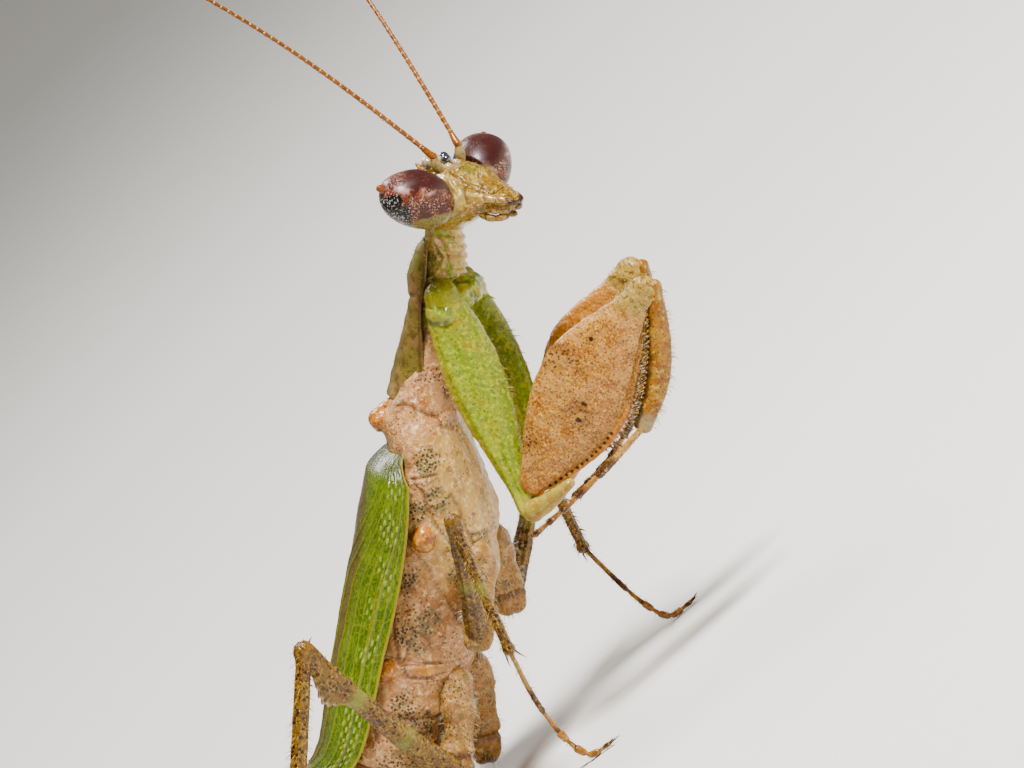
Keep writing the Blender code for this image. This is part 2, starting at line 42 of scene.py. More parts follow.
# The animal's own axes are right, ahead and up, in mm, from a point between the middle legs.
stance = {"pitch": 44, "roll": 8, "height": 6.3, "aside": 0.459, "back": -0.279}
headSeat = {"place": (0.19, 11.62, 1.15), "roll": 19.2, "yaw": 8.4}


def turn(axis, degrees):
    return np.array(Matrix.Rotation(math.radians(degrees), 3, axis))


bodyTurn = turn("Y", stance["roll"]) @ turn("X", -stance["pitch"]) @ np.diag([-1.0, -1.0, 1.0])
headTurn = turn("Y", -headSeat["roll"]) @ turn("Z", headSeat["yaw"]).T
bodySeat = np.array([stance["aside"], stance["back"], stance["height"]])


def toWorld(points):
    return (np.asarray(points, float) @ bodyTurn.T + bodySeat) * mm


def fromFloor(points):
    # Feet are given on the floor, before the whole animal is centred.
    return (np.asarray(points, float) - [0, 0, stance["height"]]) @ bodyTurn


def headPlace(points):
    return np.asarray(points, float) @ headTurn.T + headSeat["place"]


# Numbers that follow a rule.
def smoothKeys(table, values):
    # Eased values between the rows of a table whose first column is the key.
    table = np.asarray(table, float)
    if table[0, 0] > table[-1, 0]:
        table = table[::-1]
    key, rows = table[:, 0], table[:, 1:]
    values = np.clip(np.atleast_1d(values), key[0], key[-1])
    low = np.clip(np.searchsorted(key, values) - 1, 0, len(key) - 2)
    before, high, after = np.maximum(low - 1, 0), low + 1, np.minimum(low + 2, len(key) - 1)
    span = (key[high] - key[low])[:, None]
    t = ((values - key[low]) / span[:, 0])[:, None]
    slopeLow = (rows[high] - rows[before]) / np.maximum(key[high] - key[before], 1e-6)[:, None] * span
    slopeHigh = (rows[after] - rows[low]) / np.maximum(key[after] - key[low], 1e-6)[:, None] * span
    return ((2 * t**3 - 3 * t**2 + 1) * rows[low] + (t**3 - 2 * t**2 + t) * slopeLow
            + (3 * t**2 - 2 * t**3) * rows[high] + (t**3 - t**2) * slopeHigh)


def runAlong(points):
    # How far along a bent line each of its points lies.
    return np.concatenate(([0], np.cumsum(np.linalg.norm(np.diff(points, axis=0), axis=1))))


def smoothRoute(points, count=160):
    points = np.asarray(points, float)
    marks = runAlong(points)
    return smoothKeys(np.column_stack((marks, points)), np.linspace(0, marks[-1], count))


def unit(rows):
    return rows / np.maximum(np.linalg.norm(rows, axis=-1, keepdims=True), 1e-9)


def pathAxes(path, wide):
    ahead = unit(np.gradient(path, axis=0))
    wide = np.broadcast_to(np.asarray(wide, float), path.shape)
    across = unit(wide - ahead * np.sum(ahead * wide, axis=1, keepdims=True))
    return ahead, across, np.cross(across, ahead)


def sampleAt(rows, t):
    spot = np.linspace(0, 1, len(rows))
    return np.stack([np.interp(t, spot, rows[:, k]) for k in range(rows.shape[1])], axis=1)


def step(low, high, values):
    t = np.clip((np.asarray(values, float) - low) / (high - low), 0, 1)
    return t * t * (3 - 2 * t)


def lump(values, middle, width):
    return np.exp(-((np.asarray(values, float) - middle) / width) ** 2)


def cellNumber(cell, seed):
    mixed = cell[:, 0] * 73856093 ^ cell[:, 1] * 19349663 ^ cell[:, 2] * 83492791 ^ (seed * 2654435761)
    mixed = (mixed ^ (mixed >> 13)) * 1274126177
    return ((mixed ^ (mixed >> 16)) & 0xFFFF) / 65535.0


def grain(points, size, seed=1):
    # Smooth random relief from -1 to 1, with features of a size in mm.
    scaled = np.asarray(points, float) / size + 1000.0
    cell = np.floor(scaled).astype(np.int64)
    part = scaled - cell
    part = part * part * (3 - 2 * part)
    total = np.zeros(len(scaled))
    for corner in np.ndindex(2, 2, 2):
        share = np.prod(np.where(corner, part, 1 - part), axis=1)
        total += share * cellNumber(cell + np.array(corner), seed)
    return total * 2 - 1


def roughGrain(points, size, seed=1, depth=3):
    return sum(grain(points, size / 2**k, seed + k) / 2**k for k in range(depth)) / 1.6


def nearestOn(points, line):
    # Distance of each point from a bent line, and how far along it the nearest place lies.
    line = np.asarray(line, float)
    best, where, run = np.full(len(points), 1e9), np.zeros(len(points)), 0.0
    total = np.sum(np.linalg.norm(np.diff(line, axis=0), axis=1))
    for a, b in zip(line, line[1:]):
        length = np.linalg.norm(b - a)
        share = np.clip((points - a) @ (b - a) / length**2, 0, 1)
        gap = np.linalg.norm(points - (a + share[:, None] * (b - a)), axis=1)
        closer = gap < best
        best = np.where(closer, gap, best)
        where = np.where(closer, (run + share * length) / total, where)
        run += length
    return best, where


def ridge(points, line, width, height):
    gap, _ = nearestOn(points, line)
    return height * np.exp(-(gap / width) ** 2)


def swell(points, centre, radius, height):
    gap = np.linalg.norm((points - np.asarray(centre, float)) / np.asarray(radius, float), axis=1)
    return height * np.exp(-gap**2)


def highest(fields):
    return np.maximum.reduce(list(fields))


def mirrorRight(points):
    # Both sides are told of once, on the right.
    return np.column_stack((np.abs(points[:, 0]), points[:, 1:]))


# Meshes.
skins = {}


def pickOnly(*pieces):
    bpy.ops.object.select_all(action="DESELECT")
    for piece in pieces:
        piece.select_set(True)
    bpy.context.view_layer.objects.active = pieces[0]


def named(name):
    piece = bpy.context.object
    piece.name = piece.data.name = name
    return piece


def startBall(name, sides, rows):
    # A ball whose height becomes the length of the piece and whose turn becomes its section.
    bpy.ops.object.select_all(action="DESELECT")
    bpy.ops.mesh.primitive_uv_sphere_add(segments=sides, ring_count=rows, radius=1, calc_uvs=True)
    ball = named(name)
    points = readPoints(ball)
    return ball, np.arccos(np.clip(-points[:, 2], -1, 1)) / math.pi, np.arctan2(points[:, 1], points[:, 0])


def startSheet(name, lengthwise, crosswise):
    # A flat grid with its two shares, lengthwise and crosswise, from 0 to 1.
    bpy.ops.object.select_all(action="DESELECT")
    bpy.ops.mesh.primitive_grid_add(x_subdivisions=lengthwise, y_subdivisions=crosswise, size=2,
                                    calc_uvs=True)
    sheet = named(name)
    flat = readPoints(sheet)
    return sheet, (flat[:, 0] + 1) / 2, (flat[:, 1] + 1) / 2


def thicken(piece, amount):
    wall = piece.modifiers.new("wall", "SOLIDIFY")
    wall.thickness, wall.offset = amount * mm, -1.0
    pickOnly(piece)
    bpy.ops.object.modifier_apply(modifier="wall")
    piece.data.shade_smooth()


def readPoints(piece):
    flat = np.empty(len(piece.data.vertices) * 3, np.float32)
    piece.data.vertices.foreach_get("co", flat)
    return flat.reshape(-1, 3).astype(float)


def writePoints(piece, points):
    piece.data.vertices.foreach_set("co", np.ascontiguousarray(points, np.float32).ravel())
    piece.data.update()
    faceOut(piece)


def faceOut(piece):
    pickOnly(piece)
    bpy.ops.object.mode_set(mode="EDIT")
    bpy.ops.mesh.select_all(action="SELECT")
    bpy.ops.mesh.normals_make_consistent(inside=False)
    bpy.ops.object.mode_set(mode="OBJECT")
    piece.data.shade_smooth()


def paint(piece, name, values):
    # A mark from 0 to 1 on every point, which a material reads by its name.
    layer = piece.data.attributes.new(name, "FLOAT", "POINT")
    layer.data.foreach_set("value", np.clip(np.asarray(values, np.float32), 0, 1))


def remember(piece, t, around, points, uv):
    # What hairs and marks need later: places, outward directions and the unwrap.
    flat = np.empty(len(piece.data.vertices) * 3, np.float32)
    piece.data.vertices.foreach_get("normal", flat)
    skins[piece.name] = {"t": t, "around": around, "points": points, "uv": np.stack(uv, axis=1),
                         "normals": flat.reshape(-1, 3).astype(float) @ bodyTurn}


def markAll(piece, **values):
    for name, value in values.items():
        paint(piece, name, np.broadcast_to(value, (len(piece.data.vertices),)))


def paintPlace(piece, name, points):
    # A place on every point, in metres, for patterns that run with the piece and not with space.
    layer = piece.data.attributes.new(name, "FLOAT_VECTOR", "POINT")
    layer.data.foreach_set("vector", np.ascontiguousarray(points * mm, np.float32).ravel())


def limb(name, route, size, wide, sides=32, rows=72, caps=(0.08, 0.08), blunt=(1.0, 1.0), square=1.0,
         relief=None, place=None):
    # A closed skin round a smooth route: size(t) gives half width, rise and depth in mm.
    ball, along, around = startBall(name, sides, rows)
    path = smoothRoute(route)
    axes = pathAxes(path, wide)
    t = np.clip((along - caps[0]) / (1 - caps[0] - caps[1]), 0, 1)
    first = np.clip(along / caps[0], 0, 1) * math.pi / 2
    last = np.clip((1 - along) / caps[1], 0, 1) * math.pi / 2
    centre, forward, across, up = (sampleAt(line, t) for line in (path, *axes))
    halfWidth, above, below = (np.broadcast_to(part, t.shape) for part in size(t))
    ends = [np.mean([float(np.atleast_1d(part)[0]) for part in size(np.array([end]))]) for end in (0.0, 1.0)]
    push = blunt[1] * ends[1] * np.cos(last) - blunt[0] * ends[0] * np.cos(first)
    scale = np.sin(first) * np.sin(last)
    cos, sin = np.cos(around), np.sin(around)
    cos, sin = np.sign(cos) * np.abs(cos) ** square, np.sign(sin) * np.abs(sin) ** square
    height = np.where(sin > 0, above, below)
    points = centre + forward * push[:, None]
    points += across * (halfWidth * scale * cos)[:, None] + up * (height * scale * sin)[:, None]
    radial = unit(across * (cos / halfWidth)[:, None] + up * (sin / height)[:, None])
    if relief is not None:
        points += radial * relief(t, around, points)[:, None]
    if place is not None:
        points = place(points)
    writePoints(ball, toWorld(points))
    remember(ball, t, around, points, (around / (2 * math.pi) + 0.5, along))
    return ball


def dress(piece, material, slot, *nodes):
    piece.data.materials.clear()
    piece.data.materials.append(material)
    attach(piece, "root")
    if nodes:
        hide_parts(*nodes)
    return piece


def joinAs(name, pieces):
    pickOnly(*pieces)
    bpy.ops.object.join()
    return named(name)


def meshPiece(name, points, faces):
    # A new piece from points in the world's own axes.
    mesh = bpy.data.meshes.new(name)
    mesh.from_pydata(points.tolist(), [], faces)
    piece = bpy.data.objects.new(name, mesh)
    bpy.context.scene.collection.objects.link(piece)
    faceOut(piece)
    return piece


def spikes(name, cones, sides=6, bend=0.25):
    # Curved cones: place, direction, length and half width of each.
    points, faces, rings = [], [], 4
    for root, way, length, girth in cones:
        way = way / np.linalg.norm(way)
        side = np.cross(way, (0.31, 0.22, 0.92))
        side /= np.linalg.norm(side)
        up = np.cross(way, side)
        start = len(points)
        for k in range(rings):
            f = k / rings
            centre = root + way * length * f + up * bend * length * f * f
            half = girth * (1 - f) ** 0.75
            for a in (2 * math.pi * s / sides for s in range(sides)):
                points.append(centre + (side * math.cos(a) + up * math.sin(a)) * half)
        points += [root + way * length + up * bend * length, root - way * girth * 0.5]
        tip, foot = start + rings * sides, start + rings * sides + 1
        for s in range(sides):
            after = (s + 1) % sides
            for low in range(start, tip - sides, sides):
                faces.append((low + s, low + after, low + sides + after, low + sides + s))
            faces += [(tip - sides + s, tip - sides + after, tip), (start + after, start + s, foot)]
    piece = meshPiece(name, toWorld(points), faces)
    piece.data.uv_layers.new(name="UVMap")
    return piece


# Surfaces.
def linear(code):
    parts = [int(code[k:k + 2], 16) / 255 for k in (1, 3, 5)]
    return (*[c / 12.92 if c <= 0.04045 else ((c + 0.055) / 1.055) ** 2.4 for c in parts], 1.0)


def addNode(tree, kind, inputs=None, **settings):
    node = tree.nodes.new("ShaderNode" + kind)
    for key, value in settings.items():
        setattr(node, key, value)
    for key, value in (inputs or {}).items():
        if isinstance(value, bpy.types.NodeSocket):
            tree.links.new(value, node.inputs[key])
        else:
            node.inputs[key].default_value = value
    return node


# Layers of a finish: a pattern's size in mm, the values between which it fades in, colour and strength.
# within keeps a layer inside a mark, patch gathers it in clusters, on ties it to a place kept on the piece.
def cloud(size, low, high, colour, amount=1.0, within=None, patch=None, on=None, kind="cloud"):
    return {"kind": kind, "of": size, "range": (low, high), "colour": colour, "amount": amount,
            "within": within, "patch": patch, "on": on}


def dots(*settings, **more):
    return cloud(*settings, **more, kind="dots")


def veins(*settings, **more):
    return cloud(*settings, **more, kind="veins")


def mark(name, colour, amount=1.0, low=0.0, high=1.0):
    return cloud(name, low, high, colour, amount, kind="mark")


def makeFinish(name, base, layers, gloss, fine, bump, pits=None, pitsOn=None, inner=None,
               coat=(0, 0.03), shine=0.22):
    # gloss: roughness range; fine: grain in mm; bump: strength and depth in mm; pits: size and strength;
    # inner: how much light soaks in and how deep in mm; coat: weight and roughness of the wet film.
    material = bpy.data.materials.new(name)
    material.use_nodes = True
    tree = material.node_tree
    shader = tree.nodes["Principled BSDF"]
    space = addNode(tree, "TexCoord").outputs["Object"]

    def kept(attribute, output="Fac"):
        return addNode(tree, "Attribute", attribute_name=attribute).outputs[output]

    def ranged(value, low, high, least=0.0, most=1.0, **settings):
        return addNode(tree, "MapRange", {0: value, 1: low, 2: high, 3: least, 4: most},
                       **settings).outputs[0]

    def both(one, other, operation="MULTIPLY"):
        return addNode(tree, "Math", {0: one, 1: other}, operation=operation).outputs[0]

    def noise(place, size, detail, **inputs):
        return addNode(tree, "TexNoise",
                       {"Vector": place, "Scale": 1000 / size, "Detail": detail, **inputs}).outputs[0]

    def cells(place, size, **settings):
        return addNode(tree, "TexVoronoi", {"Vector": place, "Scale": 1000 / size},
                       **settings).outputs["Distance"]
    colour = linear(base)
    for layer in layers:
        place = kept(layer["on"], "Vector") if layer["on"] else space
        if layer["kind"] == "cloud":
            field = noise(place, layer["of"], 4.0, Roughness=0.6)
        elif layer["kind"] == "mark":
            field = kept(layer["of"])
        else:
            field = cells(place, layer["of"],
                          feature="F1" if layer["kind"] == "dots" else "DISTANCE_TO_EDGE")
        mask = ranged(field, *layer["range"], 0.0, layer["amount"], interpolation_type="SMOOTHSTEP")
        if layer["within"]:
            mask = both(mask, kept(layer["within"]))
        if layer["patch"]:
            mask = both(mask, ranged(noise(place, layer["patch"], 2.0), 0.46, 0.6))
        colour = addNode(tree, "Mix", {0: mask, 6: colour, 7: linear(layer["colour"])},
                         data_type="RGBA").outputs[2]
    tree.links.new(colour, shader.inputs["Base Color"])
    grit = noise(space, fine, 3.0)
    tree.links.new(ranged(grit, 0.3, 0.7, *gloss), shader.inputs["Roughness"])
    if pits:
        place = kept(pitsOn, "Vector") if pitsOn else space
        grit = both(grit, both(cells(place, pits[0], feature="SMOOTH_F1"), pits[1]), "ADD")
    raised = addNode(tree, "Bump", {"Height": grit, "Strength": bump[0], "Distance": bump[1] * mm})
    tree.links.new(raised.outputs[0], shader.inputs["Normal"])
    settings = {"Specular IOR Level": shine, "Coat Weight": coat[0], "Coat Roughness": coat[1]}
    if inner:
        settings.update({"Subsurface Weight": inner[0], "Subsurface Radius": (1.0, 0.6, 0.3),
                         "Subsurface Scale": inner[1] * mm})
    for socket, value in settings.items():
        shader.inputs[socket].default_value = value
    return material


print("tools ready")

# Trunk: rings that follow the back, straight to the bend and then curling up.
# keys: behind the shoulder, centre height, half width, above, below
trunkPlan = {
    "shoulder": 4.8, "bend": 9.6, "bendRadius": 5.6, "tail": 17.4, "neckEnd": -5.25, "abdomen": (7.0, 7.3),
    "ringStart": 7.2,
    "ringLength": 1.7, "ringSwell": 0.1,
    "keys": ((-5.25, 0.7, 0.5, 0.5, 0.48), (-4.85, 0.64, 0.58, 0.57, 0.52),
         (-4.4, 0.58, 0.6, 0.58, 0.56), (-3.9, 0.53, 0.66, 0.58, 0.56), (-3.3, 0.5, 0.74, 0.62, 0.5),
         (-2.5, 0.5, 0.78, 0.64, 0.42), (-1.6, 0.52, 0.72, 0.7, 0.46), (-0.8, 0.62, 0.84, 0.86, 0.62),
         (-0.2, 0.78, 1.06, 0.92, 0.82), (0.4, 0.84, 1.38, 0.98, 0.94), (0.9, 0.7, 1.7, 1.08, 0.94),
         (1.8, 0.45, 1.96, 1.35, 1.22), (3.2, 0.3, 2.1, 1.65, 1.74), (4.6, 0.35, 2.1, 1.7, 2.0),
         (6.0, 0.5, 2.1, 1.7, 1.9), (7.3, 0.7, 2.2, 1.6, 1.8), (9.6, 0.85, 2.6, 1.6, 1.75),
         (11.2, 0.85, 2.65, 1.55, 1.7), (13.0, 0.85, 2.5, 1.45, 1.55), (14.8, 0.85, 2.1, 1.2, 1.3),
         (16.4, 0.85, 1.45, 0.85, 0.95), (17.4, 0.85, 0.8, 0.5, 0.55))}
# seams between the flank plates, as places on the right flank, mirrored to the left
flankSeams = (
    ((2.07, 0.81, 0.36), (2.02, 0.39, -0.13), (1.93, -0.02, -0.32), (1.75, -0.49, -0.63),
     (1.41, -1.12, -0.91), (0.9, -1.7, -1.2)),
    ((1.98, 2.8, 0.53), (2.03, 2.46, 0.21), (2.0, 1.72, -0.17), (1.94, 1.45, -0.35),
     (1.8, 0.9, -0.8)),
    ((1.98, 2.8, 0.53), (1.97, 2.89, 0.15), (1.79, 3.0, -0.19)),
    ((1.74, 2.43, -0.55), (1.59, 2.0, -0.8), (1.45, 1.4, -1.05), (1.2, 0.9, -1.25)),
    ((1.45, 1.25, -1.1), (0.74, 1.23, -1.51), (0.0, 1.22, -1.62)),
    ((1.05, 4.6, 1.4), (1.2, 4.72, 1.14), (1.25, 4.7, 0.87), (1.24, 4.51, 0.43), (1.0, 4.4, 0.0)),
    ((2.06, -1.91, 0.16), (2.18, -2.61, 0.34), (1.85, -2.58, -0.25), (1.53, -2.55, -0.59)),
    ((2.18, -2.7, 0.28), (2.16, -2.98, 0.16), (1.86, -2.99, -0.31), (1.29, -2.86, -0.75),
     (0.8, -2.8, -1.0)),
    ((1.97, -1.66, -0.04), (1.86, -1.89, -0.3), (1.46, -2.43, -0.48), (1.14, -2.76, -0.82)),
    ((2.12, -0.3, 0.9), (2.12, -1.95, 0.62), (2.18, -2.6, 0.4)))
flankFolds = (
    ((0.96, 4.37, -0.02), (1.25, 3.98, -0.12), (1.46, 3.35, -0.4), (1.47, 2.58, -0.75)),
    ((1.79, 2.97, -0.19), (1.79, 2.54, -0.44)), ((1.0, 2.45, -1.12), (1.01, 1.3, -1.35)),
    ((1.0, -2.95, -0.86), (0.62, -2.95, -1.12)),
    ((2.0, 0.6, 0.02), (1.72, -0.3, -0.55), (1.36, -1.0, -0.85)), ((1.25, 3.1, -0.7), (1.1, 2.5, -1.0)))
flankKnobs = (
    ((2.05, 1.12, 0.02), (0.26, 0.36, 0.3), 0.2), ((2.22, -2.86, 0.74), (0.26, 0.4, 0.32), 0.2),
    ((1.85, -2.75, -0.02), (0.3, 0.2, 0.34), 0.07), ((0.44, 3.98, 1.78), (0.44, 0.36, 0.44), 0.38),
    ((1.15, 4.72, 0.72), (0.26, 0.34, 0.4), 0.08))
# dotted patches on the flank: place and radius
flankPatches = (
    ((1.84, 3.36, 0.18), 0.46), ((1.92, 2.28, -0.21), 0.42), ((2.06, 1.89, 0.3), 0.36),
    ((1.89, -1.34, -0.26), 0.42), ((2.1, -1.73, 0.32), 0.4), ((2.01, -2.1, 0.04), 0.3),
    ((2.27, -3.78, 0.18), 0.5), ((1.95, -4.42, -0.3), 0.6), ((2.3, -5.8, 0.1), 0.8),
    ((2.0, -6.8, -0.5), 0.7), ((1.6, 0.1, -0.9), 0.36), ((0.9, 1.1, -1.45), 0.3),
    ((1.9, -0.1, 0.5), 0.5), ((2.4, -7.8, 0.9), 0.8))
neckFold = ((0.6, 9.52, 0.8), (0.54, 8.99, 0.44), (0.4, 8.75, 0.5), (0.45, 8.41, 0.7), (0.62, 8.3, 0.86))

flankView = np.array([0.25, 1.0, 1.0])      # lines on the flank are matched mostly by length and height


def spine(behind):
    behind = np.atleast_1d(np.asarray(behind, float))
    angle = np.maximum(0, behind - trunkPlan["bend"]) / trunkPlan["bendRadius"]
    ahead = (trunkPlan["shoulder"] - np.minimum(behind, trunkPlan["bend"])
             - trunkPlan["bendRadius"] * np.sin(angle))
    lift = trunkPlan["bendRadius"] * (1 - np.cos(angle))
    zero = np.zeros_like(angle)
    return np.stack([zero, ahead, lift], 1), np.stack([zero, np.sin(angle), np.cos(angle)], 1)


def trunkSize(behind):
    return smoothKeys(trunkPlan["keys"], behind)


def buildTrunk():
    behindRows = np.linspace(trunkPlan["tail"], trunkPlan["neckEnd"], 120)
    place, up = spine(behindRows)
    centre = place + up * trunkSize(behindRows)[:, :1]
    run = runAlong(centre)
    run /= run[-1]

    def size(t):
        _, halfWidth, above, below = trunkSize(np.interp(t, run, behindRows)).T
        return halfWidth, above, below

    def relief(t, around, points):
        behind = np.interp(t, run, behindRows)
        ring = (behind - trunkPlan["ringStart"]) / trunkPlan["ringLength"]
        part = ring % 1.0
        isAbdomen = step(*trunkPlan["abdomen"], behind)
        out = trunkPlan["ringSwell"] * part * np.minimum(1, 8 * (1 - part)) * isAbdomen
        out -= 0.05 * np.maximum(lump(part, 0.0, 0.03), lump(part, 1.0, 0.03)) * isAbdomen
        mirrored = mirrorRight(points)
        flat = mirrored * flankView
        for line in flankSeams:
            out -= ridge(flat, line * flankView, 0.05, 0.07)
            out += ridge(flat, line * flankView, 0.15, 0.055)
        for line in flankFolds:
            out += ridge(flat, line * flankView, 0.075, 0.085)
        for spot, radius, height in flankKnobs:
            out += swell(mirrored, spot, radius, height)
        throat = step(-2.4, -3.4, behind)
        folds = (np.sin(points[:, 1] * 24 + 1.6 * grain(points, 0.7, 5)) * 0.04 * throat
                 * step(0.5, -0.4, np.sin(around)))
        folds += 0.035 * roughGrain(points * [0.4, 1.2, 0.4], 0.32, 12) * throat
        folds += ridge(flat, neckFold * flankView, 0.045, 0.1)
        folds -= ridge(flat + [0, 0, 0.1], neckFold * flankView, 0.05, 0.07)
        keel = 0.04 * lump(np.cos(around), 0.0, 0.16) * (np.sin(around) < 0) * step(-0.5, 0.5, behind)
        puckers = 0.09 * roughGrain(points * [1, 1, 0.6], 0.9, 14) * step(-1.0, 1.0, behind)
        return (out + folds + keel + puckers + 0.03 * roughGrain(points, 0.4, 3)
                + 0.014 * grain(points, 0.14, 8))

    trunk = limb("trunk_skin", centre, size, (1, 0, 0), 150, 460, caps=(0.02, 0.01), relief=relief)
    skin = skins["trunk_skin"]
    points, around = skin["points"], skin["around"]
    behind = np.interp(skin["t"], run, behindRows)
    mirrored = mirrorRight(points)
    part = (behind - trunkPlan["ringStart"]) / trunkPlan["ringLength"] % 1.0
    flat = mirrored * flankView
    seam = highest([ridge(flat, line * flankView, 0.045, 1.1) for line in flankSeams]
                   + [lump(part, 0.0, 0.035) * step(*trunkPlan["abdomen"], behind)])
    knob = highest(swell(mirrored, *spot) for spot in (
        (flankKnobs[0][0], (0.3, 0.38, 0.34), 1.3), (flankKnobs[1][0], (0.3, 0.44, 0.36), 1.3),
        ((1.8, -2.76, -0.15), (0.6, 0.17, 0.5), 1.1)))
    patch = highest(swell(mirrored, spot, (radius,) * 3, 1.15) for spot, radius in flankPatches)
    belly = step(0.15, -0.55, np.sin(around))
    markAll(trunk, seam=seam, knob=step(0.35, 0.8, knob), patch=step(0.25, 0.75, patch),
            cream=belly * step(0.6, 1.4, behind) * step(6.0, 3.6, behind), throat=step(-1.6, -2.6, behind),
            back=step(0.35, 0.8, np.sin(around)) * step(0.5, 1.5, behind),
            amber=step(0.25, 0.75, np.maximum(swell(mirrored, (0.44, 4.0, 2.1), (0.5, 0.46, 0.5), 1.3),
                                              swell(mirrored, (1.15, 4.85, 0.8), (0.3, 0.24, 0.45), 0.8))))
    markAll(trunk, pale=highest([ridge(flat, line * flankView, 0.045, 1.0) for line in flankFolds]
                                + [ridge(flat, neckFold * flankView, 0.04, 1.0)]),
            greenFold=ridge(points, ((0.45, 8.35, 0.25), (0.55, 8.0, 0.42), (0.7, 7.75, 0.62)), 0.16, 1.1)
            + ridge(points, ((0.55, 9.1, 0.6), (0.45, 8.75, 0.5)), 0.07, 0.9)
            + swell(mirrored, (0.7, 7.3, 0.45), (0.4, 0.5, 0.5), 1.2))
    return trunk


# Soft flank and belly cuticle: matt-satin, peach, freckled with dark pits, with light soaking in.
trunkFinish = makeFinish("freckledPeachCuticle", "#a8743a", (
    cloud(1.1, 0.42, 0.58, "#bb8450"), cloud(0.6, 0.52, 0.62, "#94581c", 0.75),
    cloud(0.8, 0.54, 0.64, "#aa6c46", 0.55), mark("cream", "#b48c3a", 0.85),
    mark("throat", "#b09a3c", 0.85), cloud(0.45, 0.5, 0.6, "#a07c36", 0.6, within="throat"),
    cloud(0.55, 0.52, 0.6, "#74821a", 0.8, within="throat"), mark("greenFold", "#6e8c10", 0.85),
    cloud(0.32, 0.54, 0.62, "#84481c", 0.6), cloud(0.16, 0.52, 0.62, "#d8b078", 0.75),
    mark("back", "#4c3a18", 0.8), cloud(0.35, 0.36, 0.6, "#5c5428", 0.8, within="patch"),
    cloud(0.13, 0.56, 0.64, "#b49a64", 0.7, within="patch"),
    dots(0.1, 0.5, 0.3, "#1c160e", 0.92, within="patch"),
    dots(0.11, 0.42, 0.24, "#46240e", 0.85, patch=0.7), cloud(0.8, 0.57, 0.65, "#463c1c", 0.55),
    mark("knob", "#ac6c08", 0.92), cloud(0.25, 0.5, 0.66, "#cc9030", 0.8, within="knob"),
    mark("amber", "#84480a", 0.9), cloud(0.14, 0.54, 0.62, "#dca058", 0.8, within="amber"),
    mark("pale", "#c8a868", 0.5), mark("seam", "#4c2408", 0.62, 0.1, 0.9)),
    gloss=(0.22, 0.46), fine=0.06, bump=(0.8, 0.045), pits=(0.11, 0.9), inner=(0.08, 0.1),
    coat=(0.18, 0.18))

trunk = buildTrunk()
dress(trunk, trunkFinish, "speckled_pale_cuticle", "mesothorax", "metathorax", "abdomen_front",
      "abdomen_rear", "neck")
print("trunk made")

# glossy orange tubercles on the flanks and the middle of the back: place, half axes
tubercles = (
    ((2.1, 1.12, 0.04), (0.34, 0.4, 0.37)), ((2.24, -2.86, 0.76), (0.28, 0.38, 0.32)),
    ((0.4, 4.0, 1.9), (0.44, 0.38, 0.41)), ((0.34, 4.42, 1.7), (0.26, 0.22, 0.26)))
knobs = []
for side in (1, -1):
    for centre, axes in tubercles:
        knob, along, around = startBall("tubercle", 36, 26)
        points = readPoints(knob) * axes + np.array(centre) * [side, 1, 1]
        points += (unit(points - np.array(centre) * [side, 1, 1])
                   * (0.05 * roughGrain(points, 0.22, 55))[:, None])
        writePoints(knob, toWorld(points))
        knobs.append(knob)
# Tubercles: swollen amber cuticle, wet-looking, paler where it is thinnest.
tubercleFinish = makeFinish("wetAmberTubercle", "#a86410", (
    cloud(0.3, 0.42, 0.6, "#8c4a06"), cloud(0.14, 0.52, 0.62, "#d09840", 0.8)),
    gloss=(0.12, 0.28), fine=0.06, bump=(0.6, 0.03), pits=(0.1, 0.7), inner=(0.15, 0.15), coat=(0.4, 0.1))
dress(joinAs("amber_tubercles", knobs), tubercleFinish, "speckled_pale_cuticle")

# Shield over the prothorax.
# keys: ahead, margin height, roof above it, half width
shieldPlan = {
    "thick": 0.06,
    "keys": ((4.72, 0.92, 1.0, 1.03), (4.95, 0.88, 1.0, 0.94), (5.5, 0.86, 0.96, 0.82),
         (6.5, 0.95, 0.68, 0.77), (7.2, 1.0, 0.52, 0.88), (7.6, 1.0, 0.5, 0.92), (8.3, 0.97, 0.62, 0.86),
         (9.0, 0.98, 0.42, 0.73), (9.36, 1.0, 0.22, 0.62))}


def buildShield():
    shield, u, v = startSheet("prothorax_shield", 190, 110)
    rear, front = (shieldPlan["keys"][k][0] for k in (0, -1))
    ahead = rear + (front - rear) * u
    margin, roof, halfWidth = smoothKeys(shieldPlan["keys"], ahead).T
    angle = math.pi * (v * 1.1 - 0.05)
    out = (0.024 * roughGrain(np.stack([np.cos(angle), ahead, np.sin(angle)], 1), 0.5, 11)
           * step(rear, 5.2, ahead))
    out += 0.035 * lump(v, 0.03, 0.03) + 0.035 * lump(v, 0.97, 0.03)
    groove = lump(ahead, 7.55 + 0.25 * np.abs(np.cos(angle)), 0.07)
    out -= 0.035 * groove * step(0.1, 0.5, np.sin(angle))
    out += 0.035 * lump(v, 0.5, 0.03) - 0.03 * lump(np.abs(v - 0.5), 0.16, 0.04) * step(7.4, 6.8, ahead)
    out += (0.008 * np.sin(ahead * 12 + 2.0 * grain(np.stack([v * 3, ahead, v * 0], 1), 0.6, 4))
            * step(0.2, 0.7, np.sin(angle)))
    points = np.stack([(halfWidth + out) * np.cos(angle), ahead,
                       margin + (roof + out) * np.maximum(np.sin(angle), -0.35)], axis=1)
    writePoints(shield, toWorld(points))
    markAll(shield, edge=np.maximum(lump(v, 0.035, 0.022), lump(v, 0.965, 0.022)),
            front=step(7.0, 8.6, ahead), side=step(0.75, 0.25, np.sin(angle)))
    remember(shield, u, v, points, (u, v))
    thicken(shield, shieldPlan["thick"])
    return shield


